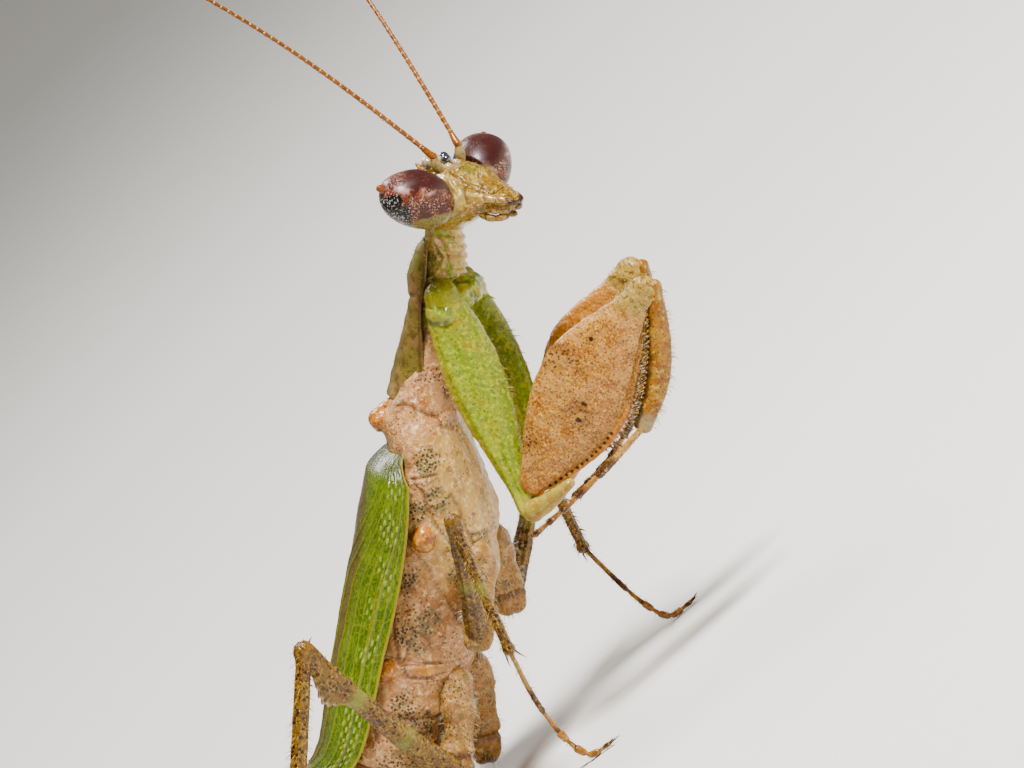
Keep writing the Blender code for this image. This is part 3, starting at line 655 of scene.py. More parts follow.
# Pronotum: thin tanned shell, olive brown, faintly wrinkled, with a darker rim.
shieldFinish = makeFinish("wrinkledOliveShell", "#5a490f", (
    cloud(0.8, 0.42, 0.62, "#725c22"), mark("front", "#565900", 0.55), mark("side", "#6c5c20", 0.55),
    cloud(0.9, 0.52, 0.6, "#7c5434", 0.6), cloud(0.22, 0.48, 0.66, "#3e2e05", 0.7),
    dots(0.14, 0.24, 0.12, "#2c1f03", 0.7, patch=0.8), cloud(0.12, 0.6, 0.72, "#917b31", 0.5),
    mark("edge", "#4c2604", 0.6, 0.35, 0.8)),
    gloss=(0.38, 0.58), fine=0.07, bump=(0.6, 0.03), pits=(0.14, 0.7), inner=(0.08, 0.12),
    coat=(0.06, 0.3))

shield = buildShield()
dress(shield, shieldFinish, "olive_brown_cuticle", "prothorax")
print("shield made")

# Lumpy green folds between the roots of the fore coxae.
foldPlan = {
    "line": ((1.34, 7.44, 0.26), (0.84, 7.8, 0.02), (0.0, 8.06, -0.14), (-0.84, 7.8, 0.02),
         (-1.34, 7.44, 0.26)),
    "half": 0.52, "lumps": 0.26}


def foldSize(t):
    half = foldPlan["half"] * (0.82 + 0.01 * np.sin(np.pi * t))
    return half, half, half * 1.15


def foldRelief(t, around, points):
    lumps = np.clip(roughGrain(points, foldPlan["lumps"], 17, 2), -0.4, 1.0)
    return 0.1 * lumps + 0.02 * grain(points, 0.1, 19)


fold = limb("basal_fold", foldPlan["line"], foldSize, (0, 1, 0), 110, 150, caps=(0.16, 0.16),
            blunt=(0.8, 0.8), relief=foldRelief)
foldLumps = roughGrain(skins["basal_fold"]["points"], foldPlan["lumps"], 17, 2)
# glass: lump crests painted paler, partly clear nodes and partly painted highlight; deep: painted shade in
# the hollows between the lumps
markAll(fold, glass=step(0.25, 0.7, foldLumps), deep=step(0.0, -0.5, foldLumps))
# Folded joint skin: wet yellow-green, with clear whitish nodes; the lump crests are painted paler, partly the
# nodes' own colour and partly painted highlight, and the hollows between the lumps carry painted shade.
foldFinish = makeFinish("wetGreenFoldSkin", "#808c0c", (
    cloud(0.5, 0.42, 0.6, "#a0921c"), cloud(0.18, 0.52, 0.64, "#5e7c06", 0.8),
    mark("deep", "#4c4c08", 0.85), dots(0.13, 0.3, 0.16, "#3c4406", 0.7, patch=0.6),
    mark("glass", "#8e9418", 0.45)),
    gloss=(0.12, 0.3), fine=0.06, bump=(0.5, 0.02), pits=(0.12, 0.6), inner=(0.08, 0.15),
    coat=(0.28, 0.14))
thorn = spikes("basal_thorn", [((-0.66, 7.75, -0.45), (0.05, -0.15, -1), 0.4, 0.075),
                               ((0.62, 8.15, -0.36), (-0.2, 0.1, -1), 0.22, 0.05)], sides=10)
markAll(thorn, glass=1.0, deep=0.0)
fold = joinAs("basal_fold", [fold, thorn])
dress(fold, foldFinish, "yellow_green_cuticle")
print("basal folds made")

# Head: one skull from crown to mouth, in its own axes: right, front, top.
# keys: top, centre to the front, half width, front bulge, back bulge
headPlan = {
    "keys": ((0.3, -0.9, 0.45, 0.5, 0.46), (0.14, -0.95, 0.8, 0.76, 0.7),
         (-0.3, -0.95, 1.06, 0.94, 0.9), (-0.9, -0.95, 1.13, 1.02, 0.86), (-1.5, -0.9, 0.96, 0.98, 0.55),
         (-2.0, -0.86, 0.75, 0.78, 0.28), (-2.4, -0.78, 0.58, 0.51, 0.15), (-2.7, -0.74, 0.44, 0.32, 0.12),
         (-2.86, -0.72, 0.34, 0.21, 0.1)),
    "eyeCentre": (1.66, -0.5, -0.62), "eyeTip": (2.7, 0.02, 0.02), "eyeLength": 1.12, "eyeHeight": 0.85,
    "eyeDepth": 0.83, "eyePlane": 0.92}
faceSeams = (
    ((0.5, -0.02, -0.98), (0.6, -0.12, -1.42), (0.65, -0.16, -1.55), (0.78, -0.43, -1.68),
     (0.84, -0.69, -1.78)),
    ((0.63, -0.17, -1.54), (0.53, -0.22, -1.85), (0.44, -0.31, -2.17), (0.49, -0.46, -2.37)),
    ((0.84, -0.69, -1.78), (0.66, -0.64, -2.15), (0.56, -0.5, -2.25), (0.49, -0.46, -2.37)),
    ((0.49, -0.46, -2.37), (0.32, -0.36, -2.42), (0.0, -0.28, -2.46)),
    ((0.47, 0.0, -0.99), (0.29, 0.07, -1.15), (0.0, 0.1, -1.2)),
    ((0.44, -0.31, -2.12), (0.3, -0.1, -1.86), (0.12, 0.02, -1.72), (0.0, 0.03, -1.7)))
faceRidges = (
    ((0.77, -0.47, -1.74), (0.63, -0.46, -2.05), (0.54, -0.46, -2.27)),
    ((0.93, -0.67, -1.43), (0.82, -0.48, -1.58)),
    ((0.06, 0.02, -1.71), (-0.05, -0.06, -1.95), (-0.12, -0.17, -2.25)),
    ((0.66, -0.05, -0.95), (0.8, -0.26, -1.25), (0.86, -0.42, -1.5)))

# swellings of the face: place, half axes, height
faceSwells = {
    "clypeus": ((0.0, 0.1, -2.15), (0.42, 0.5, 0.28), 0.07),
    "frons": ((0.0, 0.06, -1.4), (0.42, 0.5, 0.26), 0.05),
    "feelerSeat": ((0.58, 0.05, -0.62), (0.2, 0.5, 0.2), 0.1),
    "simpleEyeMound": ((0.2, -0.05, -0.18), (0.26, 0.5, 0.24), 0.1)}

# axes of the eye's own pattern, from its centre: towards the brow, and in towards the face
eyeAxes = {"rise": (-0.296, 0.925, 0.24), "inward": (-0.555, 0.038, -0.831), "spot": (0.8, 0.13, -0.02)}
eyePoint = {"start": 0.94, "foot": 0.135, "length": 0.22}


def buildSkull():
    top = np.linspace(headPlan["keys"][0][0], headPlan["keys"][-1][0], 60)
    keys = smoothKeys(headPlan["keys"], top)
    route = np.stack([top * 0, keys[:, 0], top], axis=1)
    run = runAlong(route)

    def size(t):
        _, halfWidth, front, back = smoothKeys(headPlan["keys"], np.interp(t, run / run[-1], top)).T
        return halfWidth, front, back

    def relief(t, around, points):
        near = mirrorRight(points)
        out = 0.02 * roughGrain(points, 0.34, 21) + 0.01 * grain(points, 0.1, 24)
        for line in faceSeams:
            out -= ridge(near, line, 0.035, 0.08)
            out += ridge(near, line, 0.1, 0.038)
        for line in faceRidges:
            out += ridge(near, line, 0.05, 0.07)
        for spot in faceSwells.values():
            out += swell(near, *spot)
        out -= ridge(near, ((0.18, 0.08, -0.75), (0.0, 0.1, -0.8)), 0.12, 0.05)
        out += ridge(near, ((0.92, 0.2, -0.1), (1.0, 0.25, -0.6), (1.0, 0.05, -1.1), (0.96, -0.5, -1.42),
                            (0.98, -1.1, -1.3), (0.98, -1.5, -0.8)), 0.1, 0.06)     # rim round the eye
        out += 0.045 * roughGrain(points, 0.28, 27) * step(-1.2, -1.8, points[:, 2])
        return out

    skull = limb("head_skin", route, size, (1, 0, 0), 168, 190, caps=(0.1, 0.06), blunt=(0.3, 0.5),
                 square=0.95, relief=relief, place=headPlace)
    skin = skins["head_skin"]
    own = (skin["points"] - headSeat["place"]) @ headTurn
    near = mirrorRight(own)
    markAll(skull, seam=highest(ridge(near, line, 0.04, 1.0) for line in faceSeams),
            # pale: painted highlight along the face ridges and on the cheek plate by the eye
            pale=highest([ridge(near, line, 0.06, 1.0) for line in faceRidges]
                         + [swell(near, (0.9, -0.62, -1.5), (0.3, 0.3, 0.25), 0.9)]),
            green=np.maximum(swell(near, (0.0, 0.1, -1.34), (0.5, 0.5, 0.34), 1.1),
                             swell(near, (0.95, -1.1, -1.3), (0.3, 0.5, 0.3), 0.6)),
            pearl=swell(near, (0.12, 0.1, -0.45), (0.32, 0.5, 0.34), 1.1),
            freckle=np.maximum(swell(near, (0.1, -0.2, -2.4), (0.55, 0.5, 0.34), 1.1),
                               swell(near, (0.2, 0.05, -1.3), (0.5, 0.5, 0.5), 0.6)))
    return skull


# Head capsule: hard straw cuticle, grained and freckled brown, with a painted highlight along its raised
# ridges and on the cheek plate.
skullFinish = makeFinish("grainedStrawCuticle", "#8c6c19", (
    cloud(0.5, 0.42, 0.58, "#7e5901"), cloud(0.26, 0.5, 0.6, "#644304", 0.7),
    mark("green", "#626100", 0.75), cloud(0.15, 0.54, 0.62, "#aa8b3e", 0.75),
    cloud(0.09, 0.54, 0.62, "#5a3802", 0.65), mark("pearl", "#9f894c", 0.85),
    dots(0.085, 0.42, 0.24, "#311b00", 0.9, within="freckle"),
    dots(0.12, 0.28, 0.14, "#3c2100", 0.85, patch=0.5), mark("pale", "#b59b49", 0.85),
    mark("seam", "#472300", 0.9, 0.25, 0.9)),
    gloss=(0.16, 0.36), fine=0.05, bump=(0.6, 0.026), pits=(0.085, 0.8), inner=(0.08, 0.12),
    coat=(0.35, 0.13))

skull = buildSkull()
dress(skull, skullFinish, "straw_head_cuticle", "head")
print("skull made")


def buildEye(side, name):
    # An egg, slimmer towards its outer end, which rises into a small blunt cone.
    ball, along, around = startBall(name, 110, 130)
    middle, tip = np.array(headPlan["eyeCentre"]), np.array(headPlan["eyeTip"])
    towards = unit(tip - middle)
    deep = unit(np.array([0.0, 1.0, 0.0]) - towards * towards[1])
    high = np.cross(towards, deep)
    length, height = headPlan["eyeLength"], headPlan["eyeHeight"]
    coneStart, coneFoot, coneLength = eyePoint["start"], eyePoint["foot"], eyePoint["length"]
    seat = math.sqrt(1 - (coneFoot / height) ** (2 / 0.84)) * length
    polar = np.clip(along / coneStart, 0, 1) * (math.pi - math.acos(seat / length))
    cone = np.clip((along - coneStart) / (1 - coneStart), 0, 1)
    isCone = along > coneStart
    reach = np.where(isCone, seat + coneLength * np.sin(cone * np.pi / 2), -np.cos(polar) * length)
    coneGirth = coneFoot / height * (1 - 0.42 * cone) * np.sqrt(np.clip(1 - cone**6, 0, 1))
    girth = np.where(isCone, coneGirth, np.sin(polar) ** 0.84)
    slimmer = np.where(isCone, 1.0, 1 - 0.26 * step(0.5, 0.86, along) * step(0.0, 0.5, np.cos(around)))
    points = (middle + towards * reach[:, None]
              + deep * (headPlan["eyeDepth"] * girth * slimmer * np.cos(around))[:, None])
    points += high * (height * girth * np.sin(around))[:, None]
    points += unit(points - middle) * (0.01 * roughGrain(points, 0.5, 31))[:, None]
    points[:, 0] = np.maximum(points[:, 0], headPlan["eyePlane"])
    local = points - middle
    rise = local @ np.array(eyeAxes["rise"]) + 0.085 * roughGrain(points, 0.26, 33)
    inward = local @ np.array(eyeAxes["inward"]) + 0.07 * roughGrain(points, 0.26, 34)
    lowLine = -0.6 + 0.14 * inward + 0.08 * np.maximum(0, inward) ** 2
    outerEnd = step(-0.34, -0.5, inward) * step(0.14, -0.02, rise)
    lowBack = step(0.0, -0.3, inward) * step(-0.2, -0.36, rise)
    spotGap = np.linalg.norm(local - np.array(eyeAxes["spot"]), axis=1)
    markAll(ball, dusk=step(0.13, 0.3, rise), under=step(0.08, -0.1, rise - lowLine),
            night=np.maximum(np.maximum(outerEnd, 0.8 * lowBack), step(0.21, 0.14, spotGap)),
            flecks=np.maximum(outerEnd * step(-0.36, -0.5, inward), 0.8 * lowBack)
            * step(0.16, 0.34, spotGap),
            blush=step(0.05, 0.3, rise) * step(-0.15, -0.45, inward),
            rim=step(1.16, 0.98, points[:, 0] + 0.14 * roughGrain(points, 0.3, 36)) * step(0.55, 0.1, rise),
            tip=step(coneStart - 0.005, coneStart + 0.02, along),
            # painted highlight: a broken pale band just under the dark top of the eye
            gleam=lump(rise, 0.16, 0.085) * step(0.7, 0.35, np.abs(inward))
            * step(-0.5, -0.1, grain(points, 0.16, 38)))
    points[:, 0] *= side
    writePoints(ball, toWorld(headPlace(points)))
    return ball


# Compound eye: hard clear cornea over dark pigment, with the pale speckle lying under the gloss and a painted
# highlight, a broken pale band, along the top.
eyeFinish = makeFinish("speckledEyeCornea", "#380e04", (
    cloud(0.28, 0.45, 0.6, "#5a2006"), cloud(0.06, 0.53, 0.6, "#8c5838", 0.75, patch=0.35),
    cloud(0.055, 0.55, 0.61, "#c0a080", 0.85, patch=0.5), mark("dusk", "#2c0a08", 0.92),
    cloud(0.055, 0.58, 0.64, "#80483e", 0.7, patch=0.5),
    cloud(0.05, 0.5, 0.58, "#9c6458", 0.75, within="blush"), mark("gleam", "#c08c80", 0.55),
    mark("under", "#74662e", 0.92, 0.2, 0.9), cloud(0.06, 0.52, 0.58, "#241008", 0.8, within="under"),
    mark("night", "#040202", 0.98, 0.25, 0.75), cloud(0.055, 0.565, 0.6, "#d0c8bc", 0.92, within="flecks"),
    mark("rim", "#94805e", 0.8), cloud(0.06, 0.5, 0.58, "#562818", 0.8, within="rim"),
    mark("tip", "#703404", 1.0)),
    gloss=(0.34, 0.46), fine=0.2, bump=(0.3, 0.01), pits=(0.045, 0.7), coat=(0.12, 0.2))
for side, sideName in bothSides:
    dress(buildEye(side, "eye_skin_" + sideName), eyeFinish, "dark_maroon_eye", "eye_" + sideName)
print("eyes made")

# Simple eyes, small point of the crown, palps and jaws.
ocelli = (
    ((0.3, 0.05, -0.1), 0.2, "pale"), ((-0.33, 0.05, -0.2), 0.165, "dark"),
    ((0.0, 0.15, -0.52), 0.14, "dark"), ((0.2, 0.02, -0.72), 0.13, "pale"),
    ((-0.2, 0.02, -0.72), 0.13, "pale"), ((0.12, 0.16, -0.3), 0.12, "pale"))


def buildBall(name, centre, radius):
    ball, _, _ = startBall(name, 40, 28)
    points = readPoints(ball) * radius + np.array(centre)
    writePoints(ball, toWorld(headPlace(points)))
    return ball


# Simple eye: a clear bead, so it is all gloss with a milky or smoky heart.
def makeBead(name, base, heart):
    return makeFinish(name, base, (heart,), gloss=(0.04, 0.1), fine=0.3, bump=(0.05, 0.004),
                      inner=(0.4, 0.2), coat=(1.0, 0.03), shine=0.8)


paleBead = makeBead("milkyOcellusLens", "#9c8660", cloud(0.15, 0.45, 0.6, "#c8b690", 0.5))
darkBead = makeBead("smokyOcellusLens", "#1a1c26", cloud(0.2, 0.5, 0.7, "#4a5268", 0.6))
for number, (spot, radius, shade) in enumerate(ocelli):
    bead = buildBall(f"ocellus_{number + 1}", spot, radius)
    dress(bead, paleBead if shade == "pale" else darkBead, "straw_head_cuticle")

# jointed feelers of the mouth: places, then half width at the root and tip
palps = {
    "maxilla_palp": (((0.72, -1.2, -1.42), (0.76, -1.08, -1.6), (0.74, -0.86, -1.88),
         (0.62, -0.6, -2.22), (0.54, -0.58, -2.48), (0.44, -0.56, -2.86)), 0.125, 0.095, 5),
    "labial_palp": (((0.42, -1.02, -1.88), (0.5, -1.16, -2.14), (0.46, -1.17, -2.48),
         (0.34, -1.08, -2.8)), 0.105, 0.09, 3),
    "inner_palp": (((0.52, -0.86, -2.05), (0.5, -0.93, -2.42), (0.34, -0.9, -2.84)), 0.105, 0.08, 3)}
mouthParts = []
for side in (1, -1):
    for name, (route, root, end, joints) in palps.items():
        tuck = 0.0 if side > 0 else 0.14       # the left ones lie a little closer in
        mirrored = [(side * x * (1 - tuck), y + 0.09 - tuck, z + tuck) for x, y, z in route]

        def palpSize(t, root=root, end=end, joints=joints):
            beads = np.abs(np.sin(np.pi * joints * np.clip(t, 0, 1))) ** 0.35
            half = (root + (end - root) * t) * (0.78 + 0.34 * beads)
            return half, half, half
        mouthParts.append(limb(f"{name}_{side}", mirrored, palpSize, (0, 1, 0.2), 26, 64, place=headPlace))
    jaw = [(side * 0.4, -0.62, -2.3), (side * 0.34, -0.6, -2.64), (side * 0.2, -0.6, -2.9),
           (side * 0.04, -0.62, -2.96)]
    mouthParts.append(limb(f"jaw_{side}", jaw, lambda t: (0.13 - 0.07 * t, 0.17 - 0.1 * t, 0.17 - 0.1 * t),
                           (0, 1, 0), 28, 48, place=headPlace))


def lipSize(t):
    return 0.32 - 0.12 * t**2, 0.11 - 0.02 * t, 0.12


lip = limb("lip", ((0, -0.42, -2.4), (0, -0.47, -2.64), (0, -0.6, -2.84)), lipSize, (1, 0, 0), 60, 60,
           relief=lambda t, around, p: (0.03 * roughGrain(p, 0.18, 41)
                                        - 0.03 * lump(np.cos(around), 0, 0.15)), place=headPlace)
paint(lip, "freckle", np.ones(len(lip.data.vertices)))
dress(lip, skullFinish, "straw_head_cuticle")
mouthParts.append(limb("mouth_floor", ((0, -0.8, -2.3), (0, -0.8, -2.6), (0, -0.78, -2.92)),
                       lambda t: (0.36 - 0.16 * t, 0.2 - 0.1 * t, 0.1 - 0.02 * t), (1, 0, 0), 40, 40,
                       relief=lambda t, around, p: 0.03 * roughGrain(p, 0.2, 43), place=headPlace))
for piece in mouthParts:
    own = (skins[piece.name]["points"] - headSeat["place"]) @ headTurn
    markAll(piece, dark=step(-2.68, -2.9, own[:, 2]) * (1.0 if piece.name.startswith("jaw") else 0.35),
            joint=lump((skins[piece.name]["t"] * 5) % 1.0, 0.0, 0.12))
mouth = joinAs("mouth_parts", mouthParts)
# Palps and jaws: pale glassy cuticle, tanned to dark horn where the jaws bite.
mouthFinish = makeFinish("glintingPalpCuticle", "#87601c", (
    cloud(0.25, 0.42, 0.58, "#a27f39"), cloud(0.09, 0.53, 0.62, "#683903", 0.8),
    cloud(0.12, 0.55, 0.62, "#c5aa6c", 0.7), mark("joint", "#582e00", 0.65),
    dots(0.1, 0.3, 0.16, "#391b00", 0.8, patch=0.4), mark("dark", "#220a01", 0.95)),
    gloss=(0.12, 0.28), fine=0.05, bump=(0.5, 0.018), inner=(0.1, 0.1), coat=(0.45, 0.1))
dress(mouth, mouthFinish, "straw_head_cuticle", "mouthparts")
crown = limb("crown_point", ((0, -0.4, 0.2), (0.0, -0.3, 0.36), (0.0, -0.19, 0.5)),
             lambda t: ((0.15 - 0.1 * t) * (1 + 0.12 * np.sin(t * 30)),) * 3, (1, 0, 0), 24, 40,
             relief=lambda t, around, p: 0.02 * grain(p, 0.08, 45), place=headPlace)
# Crown point: bare amber cuticle.
crownFinish = makeFinish("amberCrownPoint", "#b9822f", (
    cloud(0.1, 0.45, 0.6, "#7a4514"),),
    gloss=(0.2, 0.35), fine=0.05, bump=(0.5, 0.02), inner=(0.2, 0.12), coat=(0.22, 0.15))
dress(crown, crownFinish, "straw_head_cuticle")
print("face made")

# Feelers.
feelerPlan = {
    "root": (0.58, -0.02, -0.66), "length": 10.0, "splay": 18, "lean": 56.6, "bow": 0.35,
    "solidRoot": (0.6, 0.38, -0.54), "bead": 0.235, "girth": 0.08}


def buildFeeler(side, name):
    splay, lean = math.radians(feelerPlan["splay"]), math.radians(feelerPlan["lean"])
    way = np.array([side * math.sin(splay), math.cos(lean) * math.cos(splay),
                    math.sin(lean) * math.cos(splay)])
    root = np.array(feelerPlan["solidRoot"]) * [side, 1, 1]
    fractions = np.linspace(0.008, 0.999, 40)
    line = root + np.outer(fractions, way) * feelerPlan["length"]
    line[:, 1] += feelerPlan["bow"] * np.sin(np.pi * fractions)
    length = feelerPlan["length"] * 0.99
    count = round(length / feelerPlan["bead"])

    def size(t):
        inBead = (t * count) % 1.0
        shape = 0.78 + 0.26 * inBead**1.5 * (1 - step(0.86, 1.0, inBead) * 0.8)
        half = feelerPlan["girth"] * shape * (1 - 0.32 * t)
        return half, half, half
    thread = limb(name + "_thread", line, size, (1, 0, 0), 20, 760, caps=(0.004, 0.004), place=headPlace)
    bead = (skins[thread.name]["t"] * count) % 1.0
    # ring: painted highlight, a pale band on the fuller end of each bead
    markAll(thread, ring=np.maximum(lump(bead, 0.92, 0.1), lump(bead, 0.0, 0.05)),
            far=skins[thread.name]["t"], scape=0.0)
    base = np.array(feelerPlan["root"]) * [side, 1, 1]
    elbow = line[0]
    scape = limb(name + "_scape", (base, base * 0.35 + elbow * 0.65, elbow * 0.98 + base * 0.02),
                 lambda t: ((0.105 + 0.05 * np.sin(np.pi * np.clip(t * 1.15, 0, 1))),) * 3, (1, 0, 0), 36, 60,
                 relief=lambda t, around, p: 0.008 * roughGrain(p, 0.15, 51), place=headPlace)
    markAll(scape, ring=0.0, far=0.0, scape=step(1.0, 0.85, skins[scape.name]["t"]))
    knuckle = limb(name + "_knuckle", (line[0] - way * 0.02, line[0] + way * 0.12, line[1] + way * 0.06),
                   lambda t: (0.115 - 0.03 * t,) * 3, (1, 0, 0), 30, 40, place=headPlace)
    markAll(knuckle, ring=0.0, far=0.0, scape=0.0)
    return joinAs(name, [thread, scape, knuckle])


# Feeler: amber tube of tiny beads, each with a painted highlight, a pale ring, on its fuller end.
feelerFinish = makeFinish("beadedAmberCuticle", "#834404", (
    cloud(0.3, 0.4, 0.65, "#6b3100"), mark("far", "#542f0e", 0.8, 0.1, 1.0), mark("ring", "#b08c54", 0.5),
    mark("scape", "#86703a", 1.0), cloud(0.12, 0.5, 0.6, "#5c3e12", 0.8, within="scape")),
    gloss=(0.18, 0.32), fine=0.04, bump=(0.35, 0.012), inner=(0.15, 0.12), coat=(0.33, 0.12))
for side, sideName in bothSides:
    dress(buildFeeler(side, "feeler_" + sideName), feelerFinish, "orange_brown_feeler",
          "antenna_" + sideName)
print("feelers made")

# Grasping legs.
armPlans = {
    "right": {"coxa": ((1.05, 7.98, 0.35), (1.7, 2.41, -2.82)), "femur": ((1.8, 3.1, -2.93),
         (1.6, 9.15, -5.66)), "hinge": ((1.76, 2.34, -2.98), (1.84, 2.66, -3.4), (1.9, 3.28, -4.0)),
         "tibia": ((1.6, 9.22, -5.92), (1.65, 7.6, -6.26), (1.7, 6.4, -6.28), (1.8, 5.25, -6.02)),
         "foot": ((1.86, 5.22, -5.98), (2.24, 4.3, -5.34), (2.52, 3.04, -4.34), (2.52, 1.8, -3.25))},
    "left": {"coxa": ((-1.05, 7.98, 0.35), (-1.7, 2.36, -2.72)), "femur": ((-1.78, 2.95, -2.7),
         (-1.25, 8.95, -4.6)), "hinge": ((-1.72, 2.42, -2.78), (-1.78, 2.6, -3.1), (-1.8, 3.05, -3.45)),
         "tibia": ((-1.25, 9.05, -4.88), (-1.3, 7.55, -5.34), (-1.38, 6.35, -5.46), (-1.5, 5.3, -5.32)),
         "foot": ((-1.54, 5.28, -5.26), (-2.1, 4.2, -4.76), (-2.55, 2.95, -4.1), (-2.6, 1.7, -3.15))}}
armShape = {
    "coxaWidth": (0.5, 0.84, 0.32), "coxaPeak": 0.36, "coxaThick": 0.46,
    "femurBack": (0.4, 1.5, 0.42, 0.52), "femurFront": (0.36, 1.42, 0.42, 0.42), "femurThick": 0.42,
    "tibiaWidth": (0.26, 0.4, 0.3), "tibiaPeak": 0.6, "tibiaTeeth": 22, "femurTeeth": 26,
    "spots": ((0.439, 0.12), (0.365, 0.22), (0.7, -0.62)), "rimPoints": 14,
    "footJoints": (0, 0.44, 0.62, 0.76, 0.88, 1.0)}


def leafHalf(fraction, root, peak, tip, where):
    rising = root + (peak - root) * np.sin(np.pi / 2 * np.clip(fraction / where, 0, 1))
    falling = tip + (peak - tip) * np.cos(np.pi / 2 * np.clip((fraction - where) / (1 - where), 0, 1)) ** 1.7
    return np.where(fraction < where, rising, falling)


def rowOn(route, wide, at, flip):
    # Places on a route, with the ways ahead, across and inward there.
    ahead, across, up = (sampleAt(rows, at) for rows in pathAxes(route, wide))
    return sampleAt(route, at), ahead, across, up * flip


def buildArm(side, sideName):
    plan = armPlans[sideName]
    outward = unit(np.array([side * 0.95, 0.2, -0.2]))
    isRight = sideName == "right"

    # coxa: a keeled stave, its flat face outwards
    shape = armShape
    start, end = (np.array(p) for p in plan["coxa"])

    def coxaSize(t):
        wide = leafHalf(t, *shape["coxaWidth"], shape["coxaPeak"])
        thick = shape["coxaThick"] * (1 - 0.4 * t)
        return thick, wide, wide

    def coxaRelief(t, around, points):
        keel = 0.06 * lump(np.sin(around), -0.62 if isRight else 0.62, 0.16) * (np.cos(around) > 0)
        flutes = -0.04 * lump(np.sin(around), -0.25, 0.12) * step(0.1, 0.3, t)
        return keel + flutes + 0.03 * roughGrain(points, 0.35, 61) + 0.014 * grain(points, 0.1, 64)
    coxa = limb("fore_coxa_skin_" + sideName, (start, start * 0.5 + end * 0.5 + outward * 0.03, end),
                coxaSize, outward, 76, 150, caps=(0.12, 0.05), blunt=(0.9, 0.9), square=0.94,
                relief=coxaRelief)
    skin = skins[coxa.name]
    _, _, up = pathAxes(np.array([start, end]), outward)
    rise = np.sin(skin["around"])
    backEdge = rise if up[0][2] > 0 else -rise
    markAll(coxa, backEdge=step(0.68, 0.92, backEdge + 0.08 * roughGrain(skin["points"], 0.5, 65)),
            frontBand=lump(backEdge, -0.72, 0.26), tip=step(0.9, 0.99, skin["t"]),
            root=step(0.12, 0.02, skin["t"]))

    # femur: a deep flat blade with rounded edges
    root, knee = (np.array(p) for p in plan["femur"])
    _, _, femurUp = pathAxes(np.array([root, knee]), outward)
    upIsBack = femurUp[0][2] > 0

    def femurSize(t):
        back = leafHalf(t, *shape["femurBack"])
        front = leafHalf(t, *shape["femurFront"])
        thick = shape["femurThick"] * (0.6 + 0.4 * np.sin(np.pi * t))
        return (thick, back, front) if upIsBack else (thick, front, back)

    def femurRelief(t, around, points):
        frontward = -np.sin(around) if upIsBack else np.sin(around)
        serration = (0.03 * np.sin(t * 330) * step(0.94, 0.99, frontward)
                     * step(0.25, 0.35, t) * step(0.93, 0.85, t))
        groove = -0.06 * lump(frontward, 0.8, 0.07) * step(0.3, 0.45, t)
        kneeLobes = 0.1 * np.clip(roughGrain(points, 0.4, 78) + 0.15, -0.4, 1) * step(0.84, 0.93, t)
        dimples = 0.045 * roughGrain(points, 0.5, 71)
        lowerRim = (0.07 * lump(frontward, 0.9, 0.07) * step(0.62, 0.45, t)
                    - 0.05 * lump(frontward, 0.74, 0.06) * step(0.5, 0.3, t))
        return serration + groove + kneeLobes + dimples + lowerRim + 0.018 * grain(points, 0.12, 74)
    middle = root * 0.5 + knee * 0.5
    femur = limb("fore_femur_skin_" + sideName, (root, middle, knee), femurSize, outward, 130, 300,
                 caps=(0.06, 0.05), blunt=(0.9, 0.9), square=0.8, relief=femurRelief)
    skin = skins[femur.name]
    t, outerFace = skin["t"], np.cos(skin["around"])
    frontward = -np.sin(skin["around"]) if upIsBack else np.sin(skin["around"])
    markAll(femur, rim=step(0.76, 0.9, frontward) * step(0.62, 0.4, t) + 0.5 * step(0.04, 0.0, t),
            lip=lump(frontward, 0.985, 0.02) * step(0.25, 0.35, t),
            knee=step(0.84, 0.93, t + 0.03 * roughGrain(skin["points"], 0.5, 75)))
    soft = 0.12 * roughGrain(skin["points"], 0.6, 77)
    smudge = np.maximum(lump(t + soft, 0.16, 0.06), lump(t + soft, 0.56, 0.05)) * step(0.1, -0.7, frontward)
    markAll(femur, band=np.maximum(smudge, 0.8 * lump(t + soft, 0.4, 0.06) * lump(frontward, 0.1, 0.25)),
            inside=step(0.2, -0.4, outerFace))
    front = -femurUp[0] if upIsBack else femurUp[0]
    _, acrossBlade, _ = pathAxes(np.array([root, knee]), outward)

    def gapOnBlade(share, depth):
        apart = skin["points"] - (root + (knee - root) * share + front * depth)
        return np.linalg.norm(apart - np.outer(apart @ acrossBlade[0], acrossBlade[0]), axis=1)
    rimShares = [0.04 + 0.026 * k for k in range(shape["rimPoints"])]
    rimDepths = [float(leafHalf(np.array(share), *shape["femurFront"])) * 0.86 for share in rimShares]
    paint(femur, "spot", highest(
        [step(0.095, 0.05, gapOnBlade(*spot)) for spot in shape["spots"]]
        + [step(0.07, 0.03, gapOnBlade(*spot)) for spot in zip(rimShares, rimDepths)]) * (outerFace > 0))

    # tibia: a narrow keeled blade folded back along the femur
    route = smoothRoute(plan["tibia"], 80)
    _, _, tibiaUp = pathAxes(route, outward)
    towardFemur = np.sign(np.sum(tibiaUp * ((root + knee) / 2 - route), axis=1).mean())

    def tibiaSize(t):
        wide = leafHalf(t, *shape["tibiaWidth"], shape["tibiaPeak"])
        inner, outer = wide * (1.05 + 0.06 * np.sin(t * 46)), wide * 0.72
        return 0.2 * (1 - 0.15 * t) + 0 * wide, *((inner, outer) if towardFemur > 0 else (outer, inner))
    tibia = limb("fore_tibia_skin_" + sideName, plan["tibia"], tibiaSize, outward, 56, 130,
                 caps=(0.07, 0.06), square=0.88,
                 relief=lambda t, a, p: 0.02 * roughGrain(p, 0.3, 81) + 0.012 * grain(p, 0.1, 83))
    skinT = skins[tibia.name]
